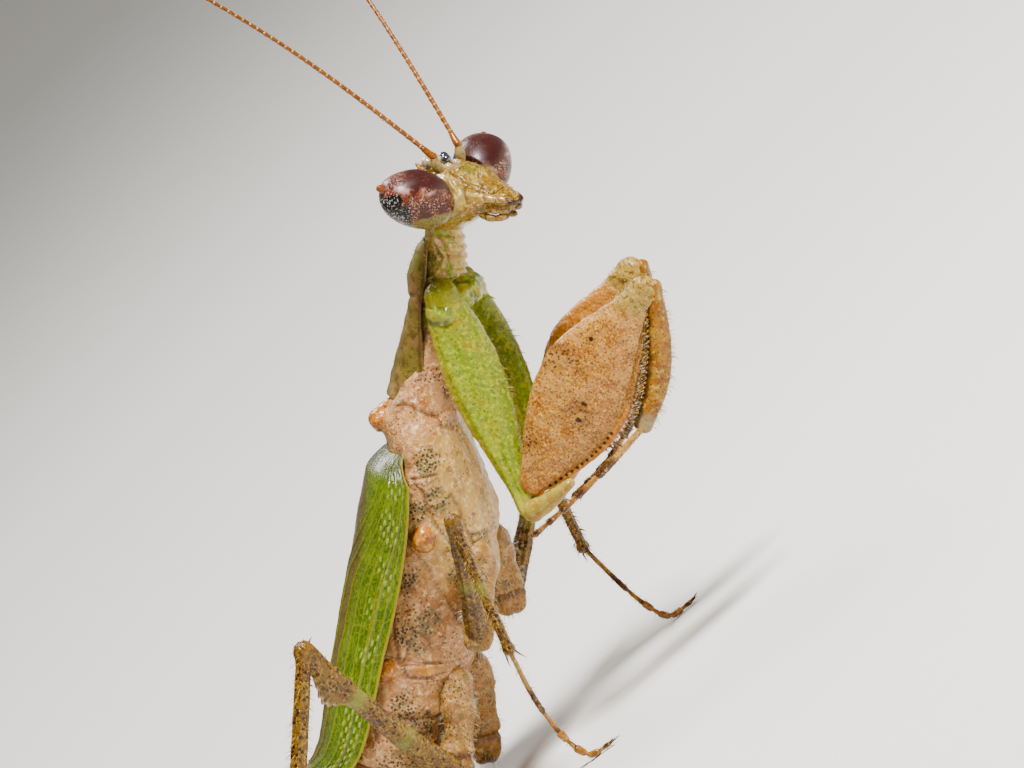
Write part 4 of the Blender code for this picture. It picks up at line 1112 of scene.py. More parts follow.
    # the edge towards the femur: its own dark notches and painted shade of the gap between tibia and femur
    markAll(tibia, toothEdge=step(0.35, 0.85, np.sin(skinT["around"]) * towardFemur
                                  + 0.2 * grain(skinT["points"], 0.2, 84)),
            bandT=step(0.1, 0.8, np.sin(skinT["t"] * 46 + 2.5 + 2 * grain(skinT["points"], 0.5, 85))),
            tipT=step(0.86, 0.97, skinT["t"]))

    # teeth of the tibia lean towards its tip and end in the long claw
    count = shape["tibiaTeeth"]
    at = np.linspace(0.1, 0.93, count)
    places, ahead, across, inward = rowOn(route, outward, at, towardFemur)
    cones = []
    for offset, stagger in ((0.09, 0.0), (-0.09, 0.5)):
        for k in range(count):
            wide = float(leafHalf(np.array(at[k]), *shape["tibiaWidth"], shape["tibiaPeak"])) * 0.95
            cones.append((places[k] + inward[k] * wide + across[k] * offset + ahead[k] * stagger * 0.2,
                          inward[k] * 0.85 + ahead[k] * 0.55, 0.19 + 0.11 * at[k], 0.044))
    cones.append((places[-1] + ahead[-1] * 0.15, ahead[-1] * 0.9 + inward[-1] * 0.45, 0.75, 0.1))
    teeth = spikes("fore_tibia_teeth_" + sideName, cones)

    # femur teeth stand on both sides of the groove that takes the tibia
    count = shape["femurTeeth"]
    at = np.linspace(0.3, 0.9, count)
    line = np.stack([root, middle, knee])
    route = smoothRoute(line, 60)
    places, ahead, across, inward = rowOn(route, outward, at, -1 if upIsBack else 1)
    rng = np.random.default_rng(7 if isRight else 8)
    cones = []
    for offset in (0.13, -0.13):
        for k in range(count):
            depth = float(leafHalf(np.array(at[k]), *shape["femurFront"]))
            isLong = k % 3 == 1
            cones.append((places[k] + inward[k] * (depth - 0.05) + across[k] * offset,
                          inward[k] - ahead[k] * 0.25 + across[k] * np.sign(offset) * 0.25,
                          (0.22 if isLong else 0.12) * (0.9 + 0.2 * rng.random()),
                          0.055 if isLong else 0.038))
    femurTeeth = spikes("fore_femur_teeth_" + sideName, cones)
    # long dark spines stand in the fold, on the inner side
    at = np.linspace(0.34, 0.86, 13)
    places, ahead, across, inward = rowOn(route, outward, at, -1 if upIsBack else 1)
    cones = [(places[k] + inward[k] * (float(leafHalf(np.array(at[k]), *shape["femurFront"])) - 0.12)
              - across[k] * 0.22, inward[k] - ahead[k] * 0.35, 0.52 - 0.04 * (k % 3), 0.085)
              for k in range(len(at))]
    folded = spikes("fore_fold_spines_" + sideName, cones, sides=8)
    teeth = joinAs("fore_tibia_teeth_" + sideName, [teeth, folded])

    # trochanter and tarsus
    hinge = limb("fore_hinge_skin_" + sideName, plan["hinge"],
                 lambda t: (0.3 - 0.1 * t, 0.37 - 0.22 * t, 0.37 - 0.22 * t),
                 outward, 48, 64, caps=(0.25, 0.16), relief=lambda t, a, p: 0.018 * roughGrain(p, 0.4, 91))
    foot = buildTarsus("fore_tarsus_skin_" + sideName, plan["foot"], outward, (0.15, 0.1),
                       armShape["footJoints"], seed=5)
    toe = skins[foot.name]["t"]
    markAll(foot, first=step(0.44, 0.4, toe), toes=step(0.42, 0.56, toe))
    return coxa, femur, tibia, teeth, femurTeeth, hinge, foot


def buildTarsus(name, route, wide, girth, joints, seed=1, rows=150):
    # Five rods, each fuller at its far end and dark towards its joint.
    def size(t):
        part = np.zeros_like(t)
        for low, high in zip(joints, joints[1:]):
            inside = (t >= low) & (t <= high)
            part = np.where(inside, (t - low) / (high - low), part)
        half = ((girth[0] + (girth[1] - girth[0]) * t) * (0.62 + 0.38 * part**1.3)
                * (1 - 0.45 * step(0.93, 1.0, part)))
        return half, half, half
    foot = limb(name, route, size, wide, 28, rows, caps=(0.03, 0.03),
                relief=lambda t, a, p: 0.008 * grain(p, 0.08, seed))
    t = skins[name]["t"]
    paint(foot, "dark", highest(
        step(low + 0.35 * (high - low), low + 0.85 * (high - low), t) * (t <= high)
        * step(high + 0.001, high - 0.02, t) for low, high in zip(joints, joints[1:])))
    return foot


# Fore coxa: taut yellow-green cuticle, stippled pale and dark, with a golden back edge.
coxaFinish = makeFinish("stippledGreenCuticle", "#6d7d00", (
    cloud(0.9, 0.42, 0.6, "#828900"), cloud(0.5, 0.54, 0.64, "#916600", 0.55),
    mark("frontBand", "#657300", 0.65), cloud(0.11, 0.5, 0.6, "#9aa00e", 0.85),
    cloud(0.1, 0.54, 0.62, "#506005", 0.5), dots(0.14, 0.36, 0.18, "#506205", 0.7),
    dots(0.2, 0.22, 0.12, "#3a3900", 0.6, patch=1.0), mark("backEdge", "#a39405", 0.9),
    cloud(0.16, 0.52, 0.62, "#836000", 0.6, within="backEdge"), mark("root", "#837700", 0.7),
    mark("tip", "#a59a20", 0.85)),
    gloss=(0.22, 0.42), fine=0.05, bump=(0.7, 0.026), pits=(0.09, 0.9), inner=(0.12, 0.12),
    coat=(0.2, 0.18))
# Fore femur: satin salmon cuticle with smudged bands, an orange rim and rows of dark points.
femurFinish = makeFinish("smudgedSalmonCuticle", "#a46614", (
    cloud(0.9, 0.42, 0.58, "#b07825"), cloud(0.9, 0.54, 0.64, "#9c7032", 0.6),
    cloud(0.24, 0.5, 0.6, "#8a4f05", 0.75), cloud(0.085, 0.52, 0.6, "#7a3e02", 0.7),
    cloud(0.075, 0.53, 0.59, "#cca553", 0.6), mark("band", "#60380b", 0.65),
    cloud(0.5, 0.5, 0.6, "#b8843f", 0.6), dots(0.1, 0.36, 0.2, "#5c2a08", 0.75),
    dots(0.1, 0.46, 0.26, "#2c1706", 0.85, within="band"), mark("inside", "#b0660e", 0.45),
    mark("rim", "#a05900", 0.92), cloud(0.14, 0.54, 0.62, "#c88f32", 0.7, within="rim"),
    mark("lip", "#d8ac6a", 0.85), mark("knee", "#a08535", 0.8),
    cloud(0.16, 0.52, 0.6, "#644208", 0.8, within="knee"), mark("spot", "#140701", 0.96)),
    gloss=(0.22, 0.46), fine=0.055, bump=(0.7, 0.03), pits=(0.09, 0.9), inner=(0.08, 0.1),
    coat=(0.24, 0.18))
# Fore tibia: honey cuticle in bars that redden to the toothed edge, which is painted near black, partly its
# own dark notches and partly painted shade of the gap against the femur; greyish and shiny at its tip.
tibiaFinish = makeFinish("honeyTibiaCuticle", "#90640a", (
    cloud(0.5, 0.42, 0.58, "#7c4c00"), cloud(0.12, 0.52, 0.62, "#b49040", 0.8),
    mark("bandT", "#7a3c02", 0.5), dots(0.11, 0.34, 0.18, "#502404", 0.8), mark("tipT", "#8a7c54", 0.7),
    mark("toothEdge", "#2e1400", 0.9)),
    gloss=(0.18, 0.38), fine=0.05, bump=(0.6, 0.024), pits=(0.09, 0.8), inner=(0.08, 0.12),
    coat=(0.22, 0.16))
# Teeth: hard dark horn, almost glassy.
toothFinish = makeFinish("redBrownToothHorn", "#4a2c02", (
    cloud(0.12, 0.45, 0.62, "#8a5c10"),),
    gloss=(0.1, 0.2), fine=0.05, bump=(0.2, 0.008), coat=(0.16, 0.12))
# Femur teeth: paler horn, tipped with straw.
paleToothFinish = makeFinish("paleTippedToothHorn", "#7c5414", (
    cloud(0.12, 0.45, 0.6, "#4a2a02"), cloud(0.3, 0.54, 0.62, "#b0903c")),
    gloss=(0.14, 0.26), fine=0.05, bump=(0.25, 0.008), inner=(0.1, 0.12), coat=(0.28, 0.1))
# Hinge skin: pale, soft and translucent where the leg folds.
hingeFinish = makeFinish("translucentHingeSkin", "#a08c2e", (
    cloud(0.4, 0.42, 0.62, "#9a701c"), cloud(0.12, 0.54, 0.66, "#c0aa5c", 0.8),
    dots(0.12, 0.22, 0.1, "#603602", 0.7)),
    gloss=(0.16, 0.32), fine=0.05, bump=(0.4, 0.015), inner=(0.4, 0.25), coat=(0.25, 0.12))
# Foot rods: amber cuticle, smoked at each joint, wet-looking.
footFinish = makeFinish("smokedAmberFoot", "#a87c34", (
    cloud(0.25, 0.42, 0.62, "#8f5c20"), dots(0.12, 0.34, 0.18, "#3c1c08", 0.9, within="first"),
    mark("toes", "#6c3a10", 0.8), mark("dark", "#301606", 0.9, 0.2, 0.8),
    cloud(0.12, 0.58, 0.68, "#e0b57a", 0.6)),
    gloss=(0.14, 0.28), fine=0.04, bump=(0.4, 0.012), inner=(0.12, 0.12), coat=(0.33, 0.12))

for side, sideName in bothSides:
    coxa, femur, tibia, teeth, femurTeeth, hinge, foot = buildArm(side, sideName)
    dress(coxa, coxaFinish, "yellow_green_cuticle", "fore_coxa_" + sideName)
    dress(femur, femurFinish, "salmon_tan_cuticle", "fore_femur_" + sideName)
    dress(tibia, tibiaFinish, "salmon_tan_cuticle", "fore_tibia_" + sideName)
    dress(teeth, toothFinish, "salmon_tan_cuticle")
    dress(femurTeeth, paleToothFinish, "salmon_tan_cuticle")
    dress(hinge, hingeFinish, "soft_straw_membrane", "fore_trochanter_" + sideName)
    dress(foot, footFinish, "amber_foot_cuticle", "fore_tarsus_" + sideName)
print("grasping legs made")

# Forewings, laid flat over the back, one lapping the other.
wingPlan = {
    "from": 1.38, "to": 13.05, "lowAngle": 3, "highAngle": 91, "tipStart": 0.62, "tipSpan": 0.4,
    "lift": 0.4, "thick": 0.05, "veins": 7, "dash": 0.36, "row": 0.16}


def wingFrame(fraction, v, side, lift):
    # fraction runs from the hinge to the tip, v from the front edge (low) to the middle of the back.
    behind = wingPlan["from"] + fraction * (wingPlan["to"] - wingPlan["from"])
    spread = np.sqrt(np.clip(1 - (np.maximum(0, fraction - wingPlan["tipStart"])
                                  / wingPlan["tipSpan"]) ** 2, 0.02, 1))
    shoulder = np.minimum(1, 0.8 + 3 * fraction)
    high = wingPlan["highAngle"]
    low = high - (high - wingPlan["lowAngle"]) * spread * shoulder
    angle = np.radians(low + (high - low) * v)
    place, up = spine(behind)
    keys = trunkSize(behind)
    centre, halfWidth, above = keys[:, 0], keys[:, 1], keys[:, 2]
    wide = halfWidth + lift + 0.06
    rise = above + lift
    across = np.zeros_like(place)
    across[:, 0] = side
    return (place + up * (centre + rise * np.sin(angle))[:, None] + across * (wide * np.cos(angle))[:, None],
            across * np.cos(angle)[:, None] + up * np.sin(angle)[:, None])


def buildWing(side, sideName):
    wing, u, v = startSheet("forewing_skin_" + sideName, 300, 150)
    lapping = 0.07 if side > 0 else 0.0
    lift = ((wingPlan["lift"] + lapping - 0.1 * step(0.25, 0.0, v)) * step(-0.005, 0.075, u)
            - 0.16 * step(0.03, 0.0, u))
    points, out = wingFrame(u, v, side, lift)
    flat = np.stack([u * 11.7, v * 4.0, v * 0], axis=1)
    # long veins that leave the hinge together and fan out to the tip
    gather = step(0.0, 0.35, u)
    fan = v**0.85 * (2.2 - 1.2 * gather)
    vein = highest(lump(fan, 0.1 + k * 0.125 + 0.03 * np.sin(u * 3 + k), 0.01)
                   for k in range(wingPlan["veins"])) * step(0.0, 0.14, u)
    mainVein = lump(fan, 0.2 + 0.05 * u, 0.014) * step(0.0, 0.08, u)
    # rows of small raised dashes between the first veins, each painted pale as a painted highlight
    row = v * 4.0 / wingPlan["row"]
    dash = (flat[:, 0] / wingPlan["dash"] + 0.45 * np.floor(row)) % 1.0
    dashes = step(0.3, 0.16, np.abs(dash - 0.5)) * step(0.36, 0.18, np.abs(row % 1.0 - 0.5))
    dashes *= (step(0.05, 0.08, v) * step(0.3, 0.22, v + 0.03 * grain(flat, 1.0, 104))
               * step(-0.5, 0.1, grain(flat, 0.45, 105)))
    relief = (0.04 * vein + 0.055 * mainVein + 0.03 * dashes + 0.022 * roughGrain(flat, 0.5, 101)
              + 0.05 * lump(v, 0.0, 0.03))
    points += out * relief[:, None]
    writePoints(wing, toWorld(points))
    markAll(wing, vein=np.maximum(vein * 0.8, mainVein), rim=step(0.035, 0.012, v),
            streak=np.clip(lump(v, 0.62 + 0.08 * grain(flat, 3.0, 103), 0.16) * step(0.02, 0.15, u), 0, 1),
            # the dashes are painted pale: painted highlights
            dusk=step(0.4, 0.7, v + 0.05 * grain(flat, 0.8, 106)), gleam=dashes)
    paintPlace(wing, "weave", np.stack([flat[:, 0] * 0.5, fan * 4.0, v * 0], axis=1))
    paint(wing, "hinge", step(0.1, 0.02, u))
    thicken(wing, wingPlan["thick"])
    return wing


# Forewing: leathery leaf green, netted with fine paler veins between small raised blisters that each carry a
# painted highlight.
wingFinish = makeFinish("nettedLeafGreenWing", "#425a00", (
    cloud(1.6, 0.4, 0.6, "#566c00"), cloud(0.35, 0.5, 0.62, "#344c00", 0.7), mark("dusk", "#2c3000", 0.75),
    veins(0.16, 0.1, 0.03, "#6e7c04", 0.7, on="weave"), dots(0.16, 0.24, 0.1, "#687c10", 0.6, on="weave"),
    cloud(0.1, 0.55, 0.63, "#2a3800", 0.6), mark("streak", "#523e00", 0.8),
    cloud(0.22, 0.52, 0.64, "#342b00", 0.6, within="streak"), mark("vein", "#8a8408", 0.6),
    mark("gleam", "#98a848", 0.7), mark("hinge", "#343400", 0.85), mark("rim", "#8e7d1d", 0.85)),
    gloss=(0.16, 0.38), fine=0.06, bump=(0.7, 0.026), pits=(0.16, 1.0), pitsOn="weave", inner=(0.08, 0.1),
    coat=(0.24, 0.15))
for side, sideName in bothSides:
    dress(buildWing(side, sideName), wingFinish, "leaf_green_wing", "forewing_" + sideName)
print("forewings made")

# Walking legs.
# root on the trunk, hip, knee, ankle (in the animal's axes), then the foot's points over the floor
legPlans = {
    "mid_right": {"upper": ((0.95, 0.6, -1.25), (1.9, -1.58, -1.72), (4.6, 2.42, -1.35),
         (4.6, -1.01, -3.26)), "foot": ((-5.1, -1.16, 2.45), (-5.2, -1.05, 1.05), (-5.28, -1.3, 0.2),
         (-5.45, -2.05, 0.1))},
    "mid_left": {"upper": ((-0.95, 0.6, -1.25), (-1.9, -1.45, -1.72), (-4.4, 2.73, -1.52),
         (-4.3, -0.21, -3.2)), "foot": ((3.66, -2.25, 1.8), (3.54, -2.45, 0.8), (3.52, -2.75, 0.2),
         (3.6, -3.5, 0.1))},
    "hind_right": {"upper": ((0.95, -3.3, -0.95), (1.62, -5.85, -1.42), (6.5, -1.39, 2.18),
         (8.3, -9.06, 1.6)), "foot": ((-9.55, 8.75, 1.05), (-9.8, 9.4, 0.4), (-10.0, 9.8, 0.17),
         (-10.4, 10.7, 0.1))},
    "hind_left": {"upper": ((-0.95, -3.3, -0.95), (-1.62, -5.85, -1.42), (-6.6, -1.8, 2.3),
         (-8.53, -8.97, 3.24)), "foot": ((8.45, 9.6, 0.6), (8.8, 10.15, 0.32), (9.05, 10.55, 0.17),
         (9.5, 11.4, 0.1))}}
legShape = {
    "mid": {"femur": (0.33, 0.22), "tibia": (0.135, 0.155), "tarsus": (0.1, 0.075), "lobe": 0.12,
         "coxa": (0.5, 0.4)},
    "hind": {"femur": (0.42, 0.27), "tibia": (0.19, 0.235), "tarsus": (0.11, 0.085), "lobe": 0.52,
         "coxa": (0.52, 0.42)},
    "footJoints": (0, 0.46, 0.64, 0.77, 0.88, 1.0), "pads": (0.64, 0.77, 0.875),
    "lobeAt": 0.8, "lobeLength": 0.085}


def buildLeg(name):
    kind = name.split("_")[0]
    shape = legShape[kind]
    root, hip, knee, ankle = (np.array(p) for p in legPlans[name]["upper"])
    toes = fromFloor(legPlans[name]["foot"])
    swing = np.cross(knee - hip, ankle - knee)
    swing /= np.linalg.norm(swing)
    pieces = {}

    coxa = limb(name + "_coxa_skin", (root, root * 0.5 + hip * 0.5, hip),
                lambda t: ((shape["coxa"][0] + (shape["coxa"][1] - shape["coxa"][0]) * t)
                           * (1 + 0.08 * np.sin(t * 9)),) * 3,
                (1, 0, 0), 60, 90, caps=(0.12, 0.12),
                relief=lambda t, a, p: (
                    0.11 * roughGrain(p, 0.5, 111) + 0.07 * np.cos(3 * a + 2 * t) * step(0.0, 0.4, t)
                    - 0.09 * lump(t, 0.8, 0.04) + 0.05 * lump(t, 0.72, 0.05)))
    paint(coxa, "fold", lump(skins[coxa.name]["t"], 0.8, 0.06))
    pieces["coxa"] = coxa

    above = np.cross(swing, knee - hip)
    above /= np.linalg.norm(above)
    thick, slim = shape["femur"]
    lobeAt, lobeLength = legShape["lobeAt"], legShape["lobeLength"]

    def femurSize(t):
        half = thick + (slim - thick) * step(0.0, 0.75, t)
        half = half * (1 + 0.16 * step(0.9, 0.98, t))
        lobe = shape["lobe"] * lump(t, lobeAt, lobeLength) * (1 + 0.1 * np.sin(t * 190))
        return half, half + lobe, half

    def femurRelief(t, around, points):
        share = lump(t, lobeAt, lobeLength) * shape["lobe"] / 0.52
        thin = -0.16 * share * np.clip(np.sin(around), 0, 1) * np.cos(around) ** 2
        ribs = 0.016 * np.cos(around * 8) * step(0.05, 0.2, t)
        return thin + ribs + 0.02 * roughGrain(points, 0.35, 121) + 0.01 * grain(points, 0.1, 123)
    femur = limb(name + "_femur_skin", (hip, hip * 0.5 + knee * 0.5 + above * 0.12, knee), femurSize,
                 swing, 64, 230, caps=(0.035, 0.03), relief=femurRelief)
    skin = skins[femur.name]
    t, rise = skin["t"], np.sin(skin["around"])
    lobeShare = lump(t, lobeAt, 0.09) * step(0.55, 0.98, rise) * (1.0 if kind == "hind" else 0.3)
    markAll(femur, lobe=lobeShare,
            lobeRim=lump(t, lobeAt, 0.09) * step(0.955, 0.995, rise) * (1.0 if kind == "hind" else 0.2),
            bandL=np.maximum(lump(t, 0.67, 0.04), lump(t, 0.36, 0.04) * 0.6) if kind == "hind"
            else lump(t, 0.5, 0.05) * 0.6,
            knee=step(0.93, 0.99, t), smoke=0.0 * t + (0.8 if kind == "mid" else 0.0))
    pieces["femur"] = femur

    narrow, wide = shape["tibia"]

    def tibiaSize(t):
        half = narrow + (wide - narrow) * lump(t, 0.35, 0.4)
        half = half * (1 + 0.35 * step(0.94, 1.0, t) + 0.35 * step(0.06, 0.0, t))
        return half, half, half
    bow = np.cross(swing, ankle - knee)
    bow /= np.linalg.norm(bow)
    tibia = limb(name + "_tibia_skin", (knee, knee * 0.55 + ankle * 0.45 + bow * 0.06, ankle), tibiaSize,
                 swing, 44, 210, caps=(0.03, 0.03),
                 relief=lambda t, a, p: 0.012 * np.cos(a * 6) + 0.012 * roughGrain(p, 0.25, 131))
    t = skins[tibia.name]["t"]
    markAll(tibia, knee=step(0.08, 0.0, t),
            smoke=step(0.45, 0.15, t) + step(0.7, 0.95, t) if kind == "mid" else 0.0 * t,
            bandL=lump(t, 0.52 if kind == "mid" else 0.62, 0.07) * 0.8, lobe=0.0, lobeRim=0.0)
    pieces["tibia"] = tibia

    route = np.vstack([ankle[None], toes])
    foot = buildTarsus(name + "_tarsus_skin", route, swing, shape["tarsus"],
                       legShape["footJoints"], seed=9, rows=190)
    paint(foot, "pale", step(0.42, 0.1, skins[foot.name]["t"]))
    pads = []
    path = smoothRoute(route)
    axes = pathAxes(path, swing)
    for k, where in enumerate(legShape["pads"]):
        centre, ahead, across = (sampleAt(rows, np.array([where]))[0] for rows in (path, *axes[:2]))
        pads.append(limb(f"{name}_pad_{k}", (centre - ahead * 0.1, centre, centre + ahead * 0.09),
                         lambda t: (0.125 - 0.02 * t, 0.1, 0.1), across, 22, 20, caps=(0.3, 0.3)))
        markAll(pads[-1], dark=0.25, pale=0.0)
    tip, ahead, across = (sampleAt(rows, np.array([1.0]))[0] for rows in (path, *axes[:2]))
    floorUp = np.array([0.0, 0.0, 1.0]) @ bodyTurn
    cones = [(tip + floorUp * 0.01, ahead * 0.85 + across * s * 0.55 + floorUp * 0.22, 0.36, 0.045)
             for s in (1, -1)]
    claws = spikes(name + "_claws", cones, sides=8, bend=0.0)
    markAll(claws, dark=0.9, pale=0.0)
    pieces["tarsus"] = joinAs(name + "_tarsus_skin", [foot, *pads, claws])

    # spurs: one at the knee, a pair where the tibia ends, small ones along the tibia
    out = unit(ankle - knee)
    cones = [(ankle + swing * s * wide * 0.7, out + swing * s * 0.35, 0.52 if kind == "mid" else 0.46, 0.045)
             for s in (1, -1)]
    cones.append((knee + swing * 0.05 - above * 0.18, -above + unit(knee - hip) * 0.3, 0.3, 0.05))
    rng = np.random.default_rng(len(name))
    for k in range(5):
        at = 0.3 + 0.13 * k + 0.03 * rng.random()
        cones.append((knee + (ankle - knee) * at + bow * (-wide * 0.8) + swing * (0.05 if k % 2 else -0.05),
                      out * 0.9 - bow, 0.22, 0.028))
    pieces["spurs"] = spikes(name + "_spurs", cones)
    return pieces


# Walking femora and tibiae: straw cuticle freckled with dark brown, paler in bands.
legFinish = makeFinish("freckledStrawCuticle", "#6e4c02", (
    cloud(0.5, 0.42, 0.58, "#5e3c02"), cloud(0.14, 0.52, 0.6, "#967214", 0.75),
    mark("smoke", "#4a2a00", 0.4), dots(0.1, 0.42, 0.28, "#3c1800", 0.9, patch=0.5),
    dots(0.15, 0.42, 0.28, "#200c00", 0.95), cloud(0.07, 0.59, 0.64, "#b08c34", 0.5),
    mark("bandL", "#7c7a20", 0.9), dots(0.16, 0.2, 0.1, "#3a2004", 0.8, within="bandL"),
    mark("lobe", "#7c682c", 0.6), dots(0.1, 0.44, 0.28, "#301a06", 0.85, within="lobe"),
    mark("lobeRim", "#c09a70", 0.85), mark("knee", "#6a4602", 0.5)),
    gloss=(0.18, 0.4), fine=0.05, bump=(0.8, 0.03), pits=(0.1, 0.9), inner=(0.06, 0.12), coat=(0.16, 0.14))
# Walking coxae: fleshy peach cuticle with greyish-green freckled patches.
hipFinish = makeFinish("fleshyPeachHip", "#9c6c30", (
    cloud(0.6, 0.42, 0.58, "#8c6020"), cloud(0.35, 0.52, 0.62, "#605420", 0.75),
    cloud(0.2, 0.52, 0.6, "#b48e50", 0.8), cloud(0.1, 0.54, 0.62, "#6c3c14", 0.7),
    dots(0.11, 0.42, 0.24, "#38240c", 0.85, patch=0.8), dots(0.14, 0.26, 0.12, "#38240c", 0.75),
    mark("fold", "#582c04", 0.7)),
    gloss=(0.22, 0.44), fine=0.05, bump=(0.8, 0.03), pits=(0.11, 0.9), inner=(0.1, 0.15),
    coat=(0.22, 0.16))
# Spurs: dark, hard horn.
spurFinish = makeFinish("darkSpurHorn", "#6a3a18", (
    cloud(0.12, 0.45, 0.62, "#3a1c0a"),),
    gloss=(0.14, 0.26), fine=0.05, bump=(0.25, 0.008), coat=(0.28, 0.1))
# Walking feet: amber, smoked towards the toes, with clear glossy pads.
walkFootFinish = makeFinish("clearAmberFootPads", "#9c6414", (
    cloud(0.25, 0.42, 0.62, "#6c400c"), mark("pale", "#8e7030", 0.85),
    cloud(0.1, 0.53, 0.6, "#5c3810", 0.7, within="pale"), mark("dark", "#34180a", 0.9, 0.2, 0.8),
    cloud(0.12, 0.58, 0.68, "#e0b57a", 0.5)),
    gloss=(0.12, 0.26), fine=0.04, bump=(0.35, 0.01), inner=(0.2, 0.12), coat=(0.33, 0.1))
for name in legPlans:
    pieces = buildLeg(name)
    dress(pieces["coxa"], hipFinish, "speckled_pale_cuticle", name.replace("_", "_coxa_"))
    dress(pieces["femur"], legFinish, "dotted_straw_cuticle", name.replace("_", "_femur_"))
    dress(pieces["tibia"], legFinish, "dotted_straw_cuticle", name.replace("_", "_tibia_"))
    dress(pieces["tarsus"], walkFootFinish, "amber_foot_cuticle", name.replace("_", "_tarsus_"))
    dress(pieces["spurs"], spurFinish, "dotted_straw_cuticle")
print("walking legs made")

# Cerci: two short beaded tails.
cercusPlan = {"length": 1.6, "rootAside": 0.4, "rootUp": 0.12, "beads": 8, "girth": (0.24, 0.13)}


def buildCercus(side, sideName):
    place, up = spine(trunkPlan["tail"])
    forward = np.array([0, up[0][2], -up[0][1]])
    centre = place[0] + up[0] * (trunkSize(trunkPlan["tail"])[0][0] + cercusPlan["rootUp"])
    root = centre + np.array([side * cercusPlan["rootAside"], 0, 0])
    way = -forward + np.array([side * 0.45, 0, 0]) + up[0] * 0.25
    way /= np.linalg.norm(way)

    def size(t):
        bead = (t * cercusPlan["beads"]) % 1.0
        half = ((cercusPlan["girth"][0] + (cercusPlan["girth"][1] - cercusPlan["girth"][0]) * t)
                * (0.78 + 0.26 * np.sin(np.pi * bead) ** 0.6))
        return half, half, half
    tail = limb("cercus_skin_" + sideName,
                (root - way * 0.25, root + way * 0.7, root + way * cercusPlan["length"] * 0.97), size,
                (1, 0, 0), 40, 110, caps=(0.05, 0.08),
                relief=lambda t, a, p: 0.012 * roughGrain(p, 0.2, 141))
    t = skins[tail.name]["t"]
    markAll(tail, bandL=0.0, lobe=0.0, lobeRim=0.0, smoke=0.0,
            knee=lump((t * cercusPlan["beads"]) % 1.0, 0.0, 0.12))
    return tail


for side, sideName in bothSides:
    dress(buildCercus(side, sideName), legFinish, "dotted_straw_cuticle", "cercus_" + sideName)
print("cerci made")

# Hairs: seeded beds of fine cones, each bent towards the far end of what it grows from.
# bed: skin, how many, shortest, longest, half width at the root, lean, and where they stand
def everywhere(skin):
    return np.ones(len(skin["t"]))


def stretch(low, high):
    return lambda skin: step(low - 0.02, low + 0.02, skin["t"]) * step(high + 0.02, high - 0.02, skin["t"])


def oneEdge(side, low=0.0, high=1.0):
    # side is 1 for the upper edge of a section and -1 for the lower
    return lambda skin: (step(0.75, 0.97, side * np.sin(skin["around"]))
                         * (skin["t"] > low) * (skin["t"] < high))


def margins(skin):
    return lump(np.minimum(skin["around"], 1 - skin["around"]), 0.04, 0.03)


def midLine(skin):
    return lump(skin["around"], 0.5, 0.06)


hairBox = {"lowest": 0.00001, "tilesAcross": 8, "patch": 0.003, "sides": 3}


def growHairs(name, beds, seed):
    rng = np.random.default_rng(seed)
    roots, mids, tips, sides, girths, places, tones = [], [], [], [], [], [], []
    for number, (skinName, count, short, tall, girth, lean, where) in enumerate(beds):
        skin = skins[skinName]
        chance = where(skin)
        picked = rng.choice(len(chance), count, p=chance / chance.sum())
        t, points, normal = skin["t"], skin["points"], skin["normals"][picked]
        onward = unit(points[t > 0.75].mean(axis=0) - points[t < 0.25].mean(axis=0))
        way = unit(normal + onward * lean + rng.normal(0, 0.16, (count, 3)))
        length = rng.uniform(short, tall, count)[:, None]
        root = points[picked] + rng.normal(0, 0.012, (count, 3)) - normal * 0.015
        roots.append(root)
        mids.append(root + (way + 0.12 * normal) * length * 0.55)
        tips.append(root + (way + 0.22 * onward) * length)
        sides.append(unit(np.cross(way, rng.normal(0, 1, (count, 3)))))
        girths.append(np.full(count, girth) * rng.uniform(0.8, 1.2, count))
        tile = np.array([number % hairBox["tilesAcross"], number // hairBox["tilesAcross"]])
        places.append((tile + 0.04 + 0.92 * np.clip(skin["uv"][picked], 0, 1)) / hairBox["tilesAcross"])
        tones.append(rng.random(count))
    roots, mids, tips, sides = (np.concatenate(part) for part in (roots, mids, tips, sides))
    girths, places, tones = (np.concatenate(part) for part in (girths, places, tones))
    across = np.cross(unit(tips - roots), sides)
    total, ring = len(roots), hairBox["sides"]
    points = np.zeros((total, 2 * ring + 1, 3))
    uv = np.zeros((total, 2 * ring + 1, 2))
    for k in range(ring):
        angle = 2 * math.pi * k / ring
        out = sides * math.cos(angle) + across * math.sin(angle)
        points[:, k] = roots + out * girths[:, None]
        points[:, ring + k] = mids + out * (girths * 0.65)[:, None]
        corner = np.array([math.cos(angle), math.sin(angle)]) * hairBox["patch"] / 2
        uv[:, k], uv[:, ring + k] = places + corner, places + corner * 0.5
    points[:, -1], uv[:, -1] = tips, places
    faces = [(0, 2, 1)]
    for k in range(ring):
        after = (k + 1) % ring
        faces += [(k, after, ring + after, ring + k), (ring + k, ring + after, 2 * ring)]
    starts = np.arange(total) * (2 * ring + 1)
    allFaces = [tuple(int(start + corner) for corner in face) for start in starts for face in faces]
    world = toWorld(points.reshape(-1, 3))
    world[:, 2] = np.maximum(world[:, 2], hairBox["lowest"])
    piece = meshPiece(name, world, allFaces)
    mesh = piece.data
    corners = np.empty(len(mesh.loops), np.int32)
    mesh.loops.foreach_get("vertex_index", corners)
    mesh.uv_layers.new(name="OFBake").data.foreach_set(
        "uv", uv.reshape(-1, 2)[corners].astype(np.float32).ravel())
    paint(piece, "tone", np.repeat(tones, 2 * ring + 1))
    return piece


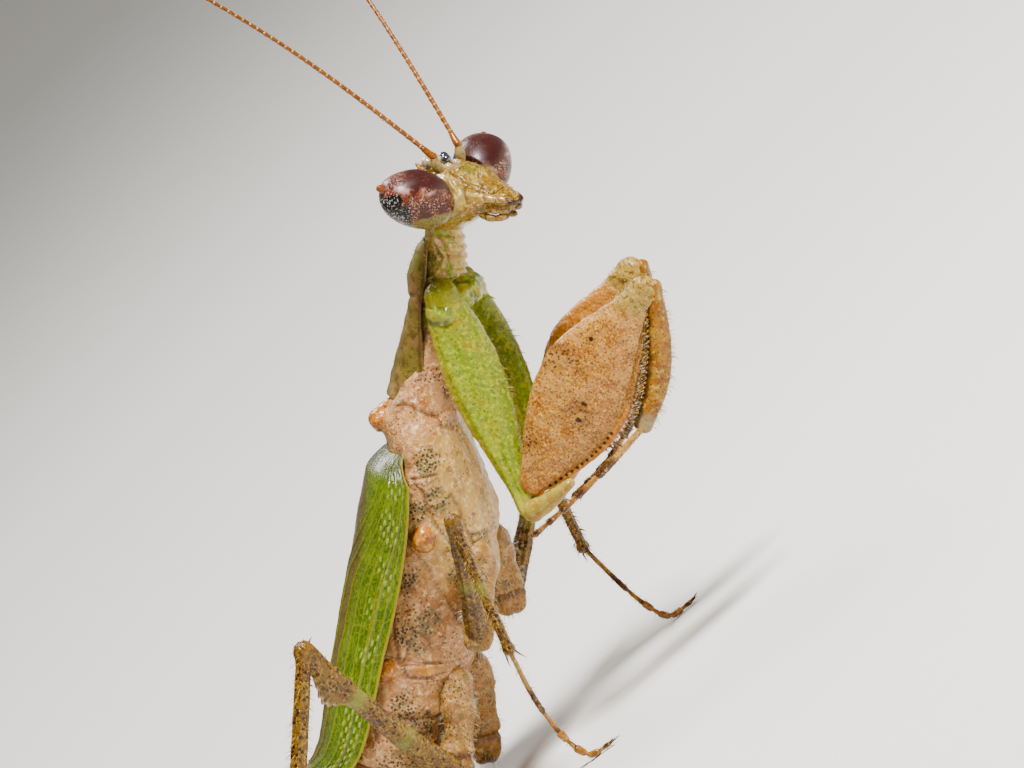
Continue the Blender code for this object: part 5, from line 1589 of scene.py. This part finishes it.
# {} stands for the side, right or left
goldRows = (("hind_{}_tibia_skin", 520, 0.14, 0.28, 0.0095, 0.55, everywhere),
            ("mid_{}_tibia_skin", 420, 0.1, 0.2, 0.0085, 0.55, everywhere),
            ("hind_{}_femur_skin", 260, 0.06, 0.14, 0.008, 0.7, stretch(0.1, 0.99)),
            ("mid_{}_femur_skin", 260, 0.06, 0.14, 0.008, 0.7, stretch(0.1, 0.99)),
            ("hind_{}_tarsus_skin", 240, 0.08, 0.16, 0.0075, 0.8, everywhere),
            ("mid_{}_tarsus_skin", 240, 0.08, 0.16, 0.0075, 0.8, everywhere),
            ("fore_tarsus_skin_{}", 260, 0.06, 0.13, 0.0075, 0.8, everywhere),
            ("cercus_skin_{}", 300, 0.14, 0.34, 0.0075, 0.5, everywhere),
            ("feeler_{}_thread", 1500, 0.035, 0.06, 0.005, 1.4, everywhere),
            ("fore_coxa_skin_{}", 16, 0.14, 0.22, 0.015, 0.3, oneEdge(1, 0.15, 0.7)),
            ("fore_coxa_skin_{}", 16, 0.14, 0.22, 0.015, 0.3, oneEdge(-1, 0.15, 0.7)))
paleRows = (("fore_tibia_skin_{}", 120, 0.12, 0.26, 0.0085, 0.25, oneEdge(1)),
            ("fore_tibia_skin_{}", 120, 0.12, 0.26, 0.0085, 0.25, oneEdge(-1)),
            ("fore_femur_skin_{}", 220, 0.05, 0.13, 0.007, 0.3, stretch(0.86, 0.98)),
            ("fore_femur_skin_{}", 260, 0.03, 0.07, 0.006, 0.6, everywhere),
            ("fore_coxa_skin_{}", 160, 0.04, 0.1, 0.006, 0.4, oneEdge(1)),
            ("fore_coxa_skin_{}", 160, 0.04, 0.1, 0.006, 0.4, oneEdge(-1)),
            ("hind_{}_coxa_skin", 420, 0.12, 0.26, 0.0065, 0.4, everywhere),
            ("mid_{}_coxa_skin", 420, 0.12, 0.26, 0.0065, 0.4, everywhere),
            ("maxilla_palp_{}", 70, 0.05, 0.1, 0.0055, 0.5, everywhere),
            ("labial_palp_{}", 60, 0.05, 0.1, 0.0055, 0.5, everywhere))


def onSides(rows):
    return [(name.format(side if "palp" in name else sideName), *rest)
            for side, sideName in bothSides for name, *rest in rows]


goldBeds = onSides(goldRows) + [("prothorax_shield", 90, 0.06, 0.12, 0.0085, 0.2, margins),
                                ("prothorax_shield", 50, 0.06, 0.12, 0.0085, 0.2, midLine)]
paleBeds = onSides(paleRows) + [("head_skin", 420, 0.035, 0.08, 0.005, 0.4, everywhere),
                                ("lip", 60, 0.05, 0.11, 0.0055, 0.5, everywhere),
                                ("trunk_skin", 1500, 0.06, 0.13, 0.006, -0.5, everywhere)]
# Bristles: golden amber, some paler than others at random.
goldHair = makeFinish("goldenBristle", "#a4741c", (
    mark("tone", "#d4b060", 0.8), cloud(0.5, 0.45, 0.6, "#7c4c0c", 0.5)),
    gloss=(0.2, 0.35), fine=0.1, bump=(0.1, 0.003), coat=(0.3, 0.03))
# Fine hairs: colourless and glassy, so they catch the light.
paleHair = makeFinish("glassyPaleHair", "#b8ac84", (
    mark("tone", "#e4dcc0", 0.8), cloud(0.5, 0.45, 0.6, "#94844c", 0.5)),
    gloss=(0.18, 0.3), fine=0.1, bump=(0.1, 0.003), coat=(0.3, 0.03))
dress(growHairs("golden_bristles", goldBeds, 211), goldHair, "dotted_straw_cuticle")
dress(growHairs("pale_hairs", paleBeds, 223), paleHair, "speckled_pale_cuticle")
print("hairs made")

# Floor, light and camera.
view = {
    "right": (0.14867, -0.72966, -0.66746), "up": (0.32485, -0.60147, 0.72987),
    "back": (-0.93401, -0.32533, 0.14761), "aimAside": 2.057, "aimUp": 5.029, "frameWidth": 29.257,
    "distance": 300, "sensor": 36}
backdropTone = "#e9e6e0"


def buildFloor():
    bpy.ops.object.select_all(action="DESELECT")
    bpy.ops.mesh.primitive_grid_add(x_subdivisions=8, y_subdivisions=8, size=3.0, location=(0, 0, 0))
    floor = bpy.context.object
    floor.name = floor.data.name = "studio_floor"
    material = bpy.data.materials.new("mattPaperFloor")       # uncoated paper: no gloss, faintly uneven
    material.use_nodes = True
    tree = material.node_tree
    shader = tree.nodes["Principled BSDF"]
    place = addNode(tree, "TexCoord").outputs["Object"]
    speck = addNode(tree, "TexNoise", {"Vector": place, "Scale": 400.0, "Detail": 3.0}).outputs[0]
    tone = addNode(tree, "Mix", {0: speck, 6: linear(backdropTone), 7: linear("#e6e3dc")},
                   data_type="RGBA").outputs[2]
    tree.links.new(tone, shader.inputs["Base Color"])
    shader.inputs["Roughness"].default_value = 0.95
    shader.inputs["Specular IOR Level"].default_value = 0.1
    floor.data.materials.append(material)


def softLight(name, towards, distance, size, power):
    lamp = bpy.data.lights.new(name, "AREA")
    lamp.shape, lamp.size, lamp.energy = "DISK", size * mm, power
    holder = bpy.data.objects.new(name, lamp)
    bpy.context.scene.collection.objects.link(holder)
    way = Vector(towards).normalized()
    holder.location = Vector((0, 0, 9 * mm)) + way * distance * mm
    holder.rotation_euler = way.to_track_quat("Z", "Y").to_euler()


buildFloor()
cameraAxes = [Vector(view[k]).normalized() for k in ("right", "up", "back")]


def fromCamera(aside, up, back):
    return cameraAxes[0] * aside + cameraAxes[1] * up + cameraAxes[2] * back


softLight("key_light", fromCamera(-0.25, 0.85, 0.5), 150, 42, 0.7)
softLight("fill_light", fromCamera(0.9, 0.1, 0.4), 180, 80, 0.42)
softLight("back_light", fromCamera(-0.55, 0.6, -0.6), 170, 60, 0.2)

world = bpy.context.scene.world or bpy.data.worlds.new("studio")
bpy.context.scene.world = world
world.use_nodes = True
world.node_tree.nodes["Background"].inputs[0].default_value = linear("#f1efea")
world.node_tree.nodes["Background"].inputs[1].default_value = 0.33

lens = bpy.data.cameras.new("camera")
lens.sensor_width = view["sensor"]
lens.lens = view["sensor"] * view["distance"] / view["frameWidth"]
lens.clip_start, lens.clip_end = 0.01, 20
camera = bpy.data.objects.new("camera", lens)
bpy.context.scene.collection.objects.link(camera)
aim = Vector((stance["aside"], stance["back"],
              stance["height"])) + fromCamera(view["aimAside"], view["aimUp"], 0)
spot = (aim + cameraAxes[2] * view["distance"]) * mm
columns = Matrix([cameraAxes[0], cameraAxes[1], cameraAxes[2]]).transposed().to_4x4()
camera.matrix_world = Matrix.Translation(spot) @ columns
bpy.context.scene.camera = camera

print("scene ready")
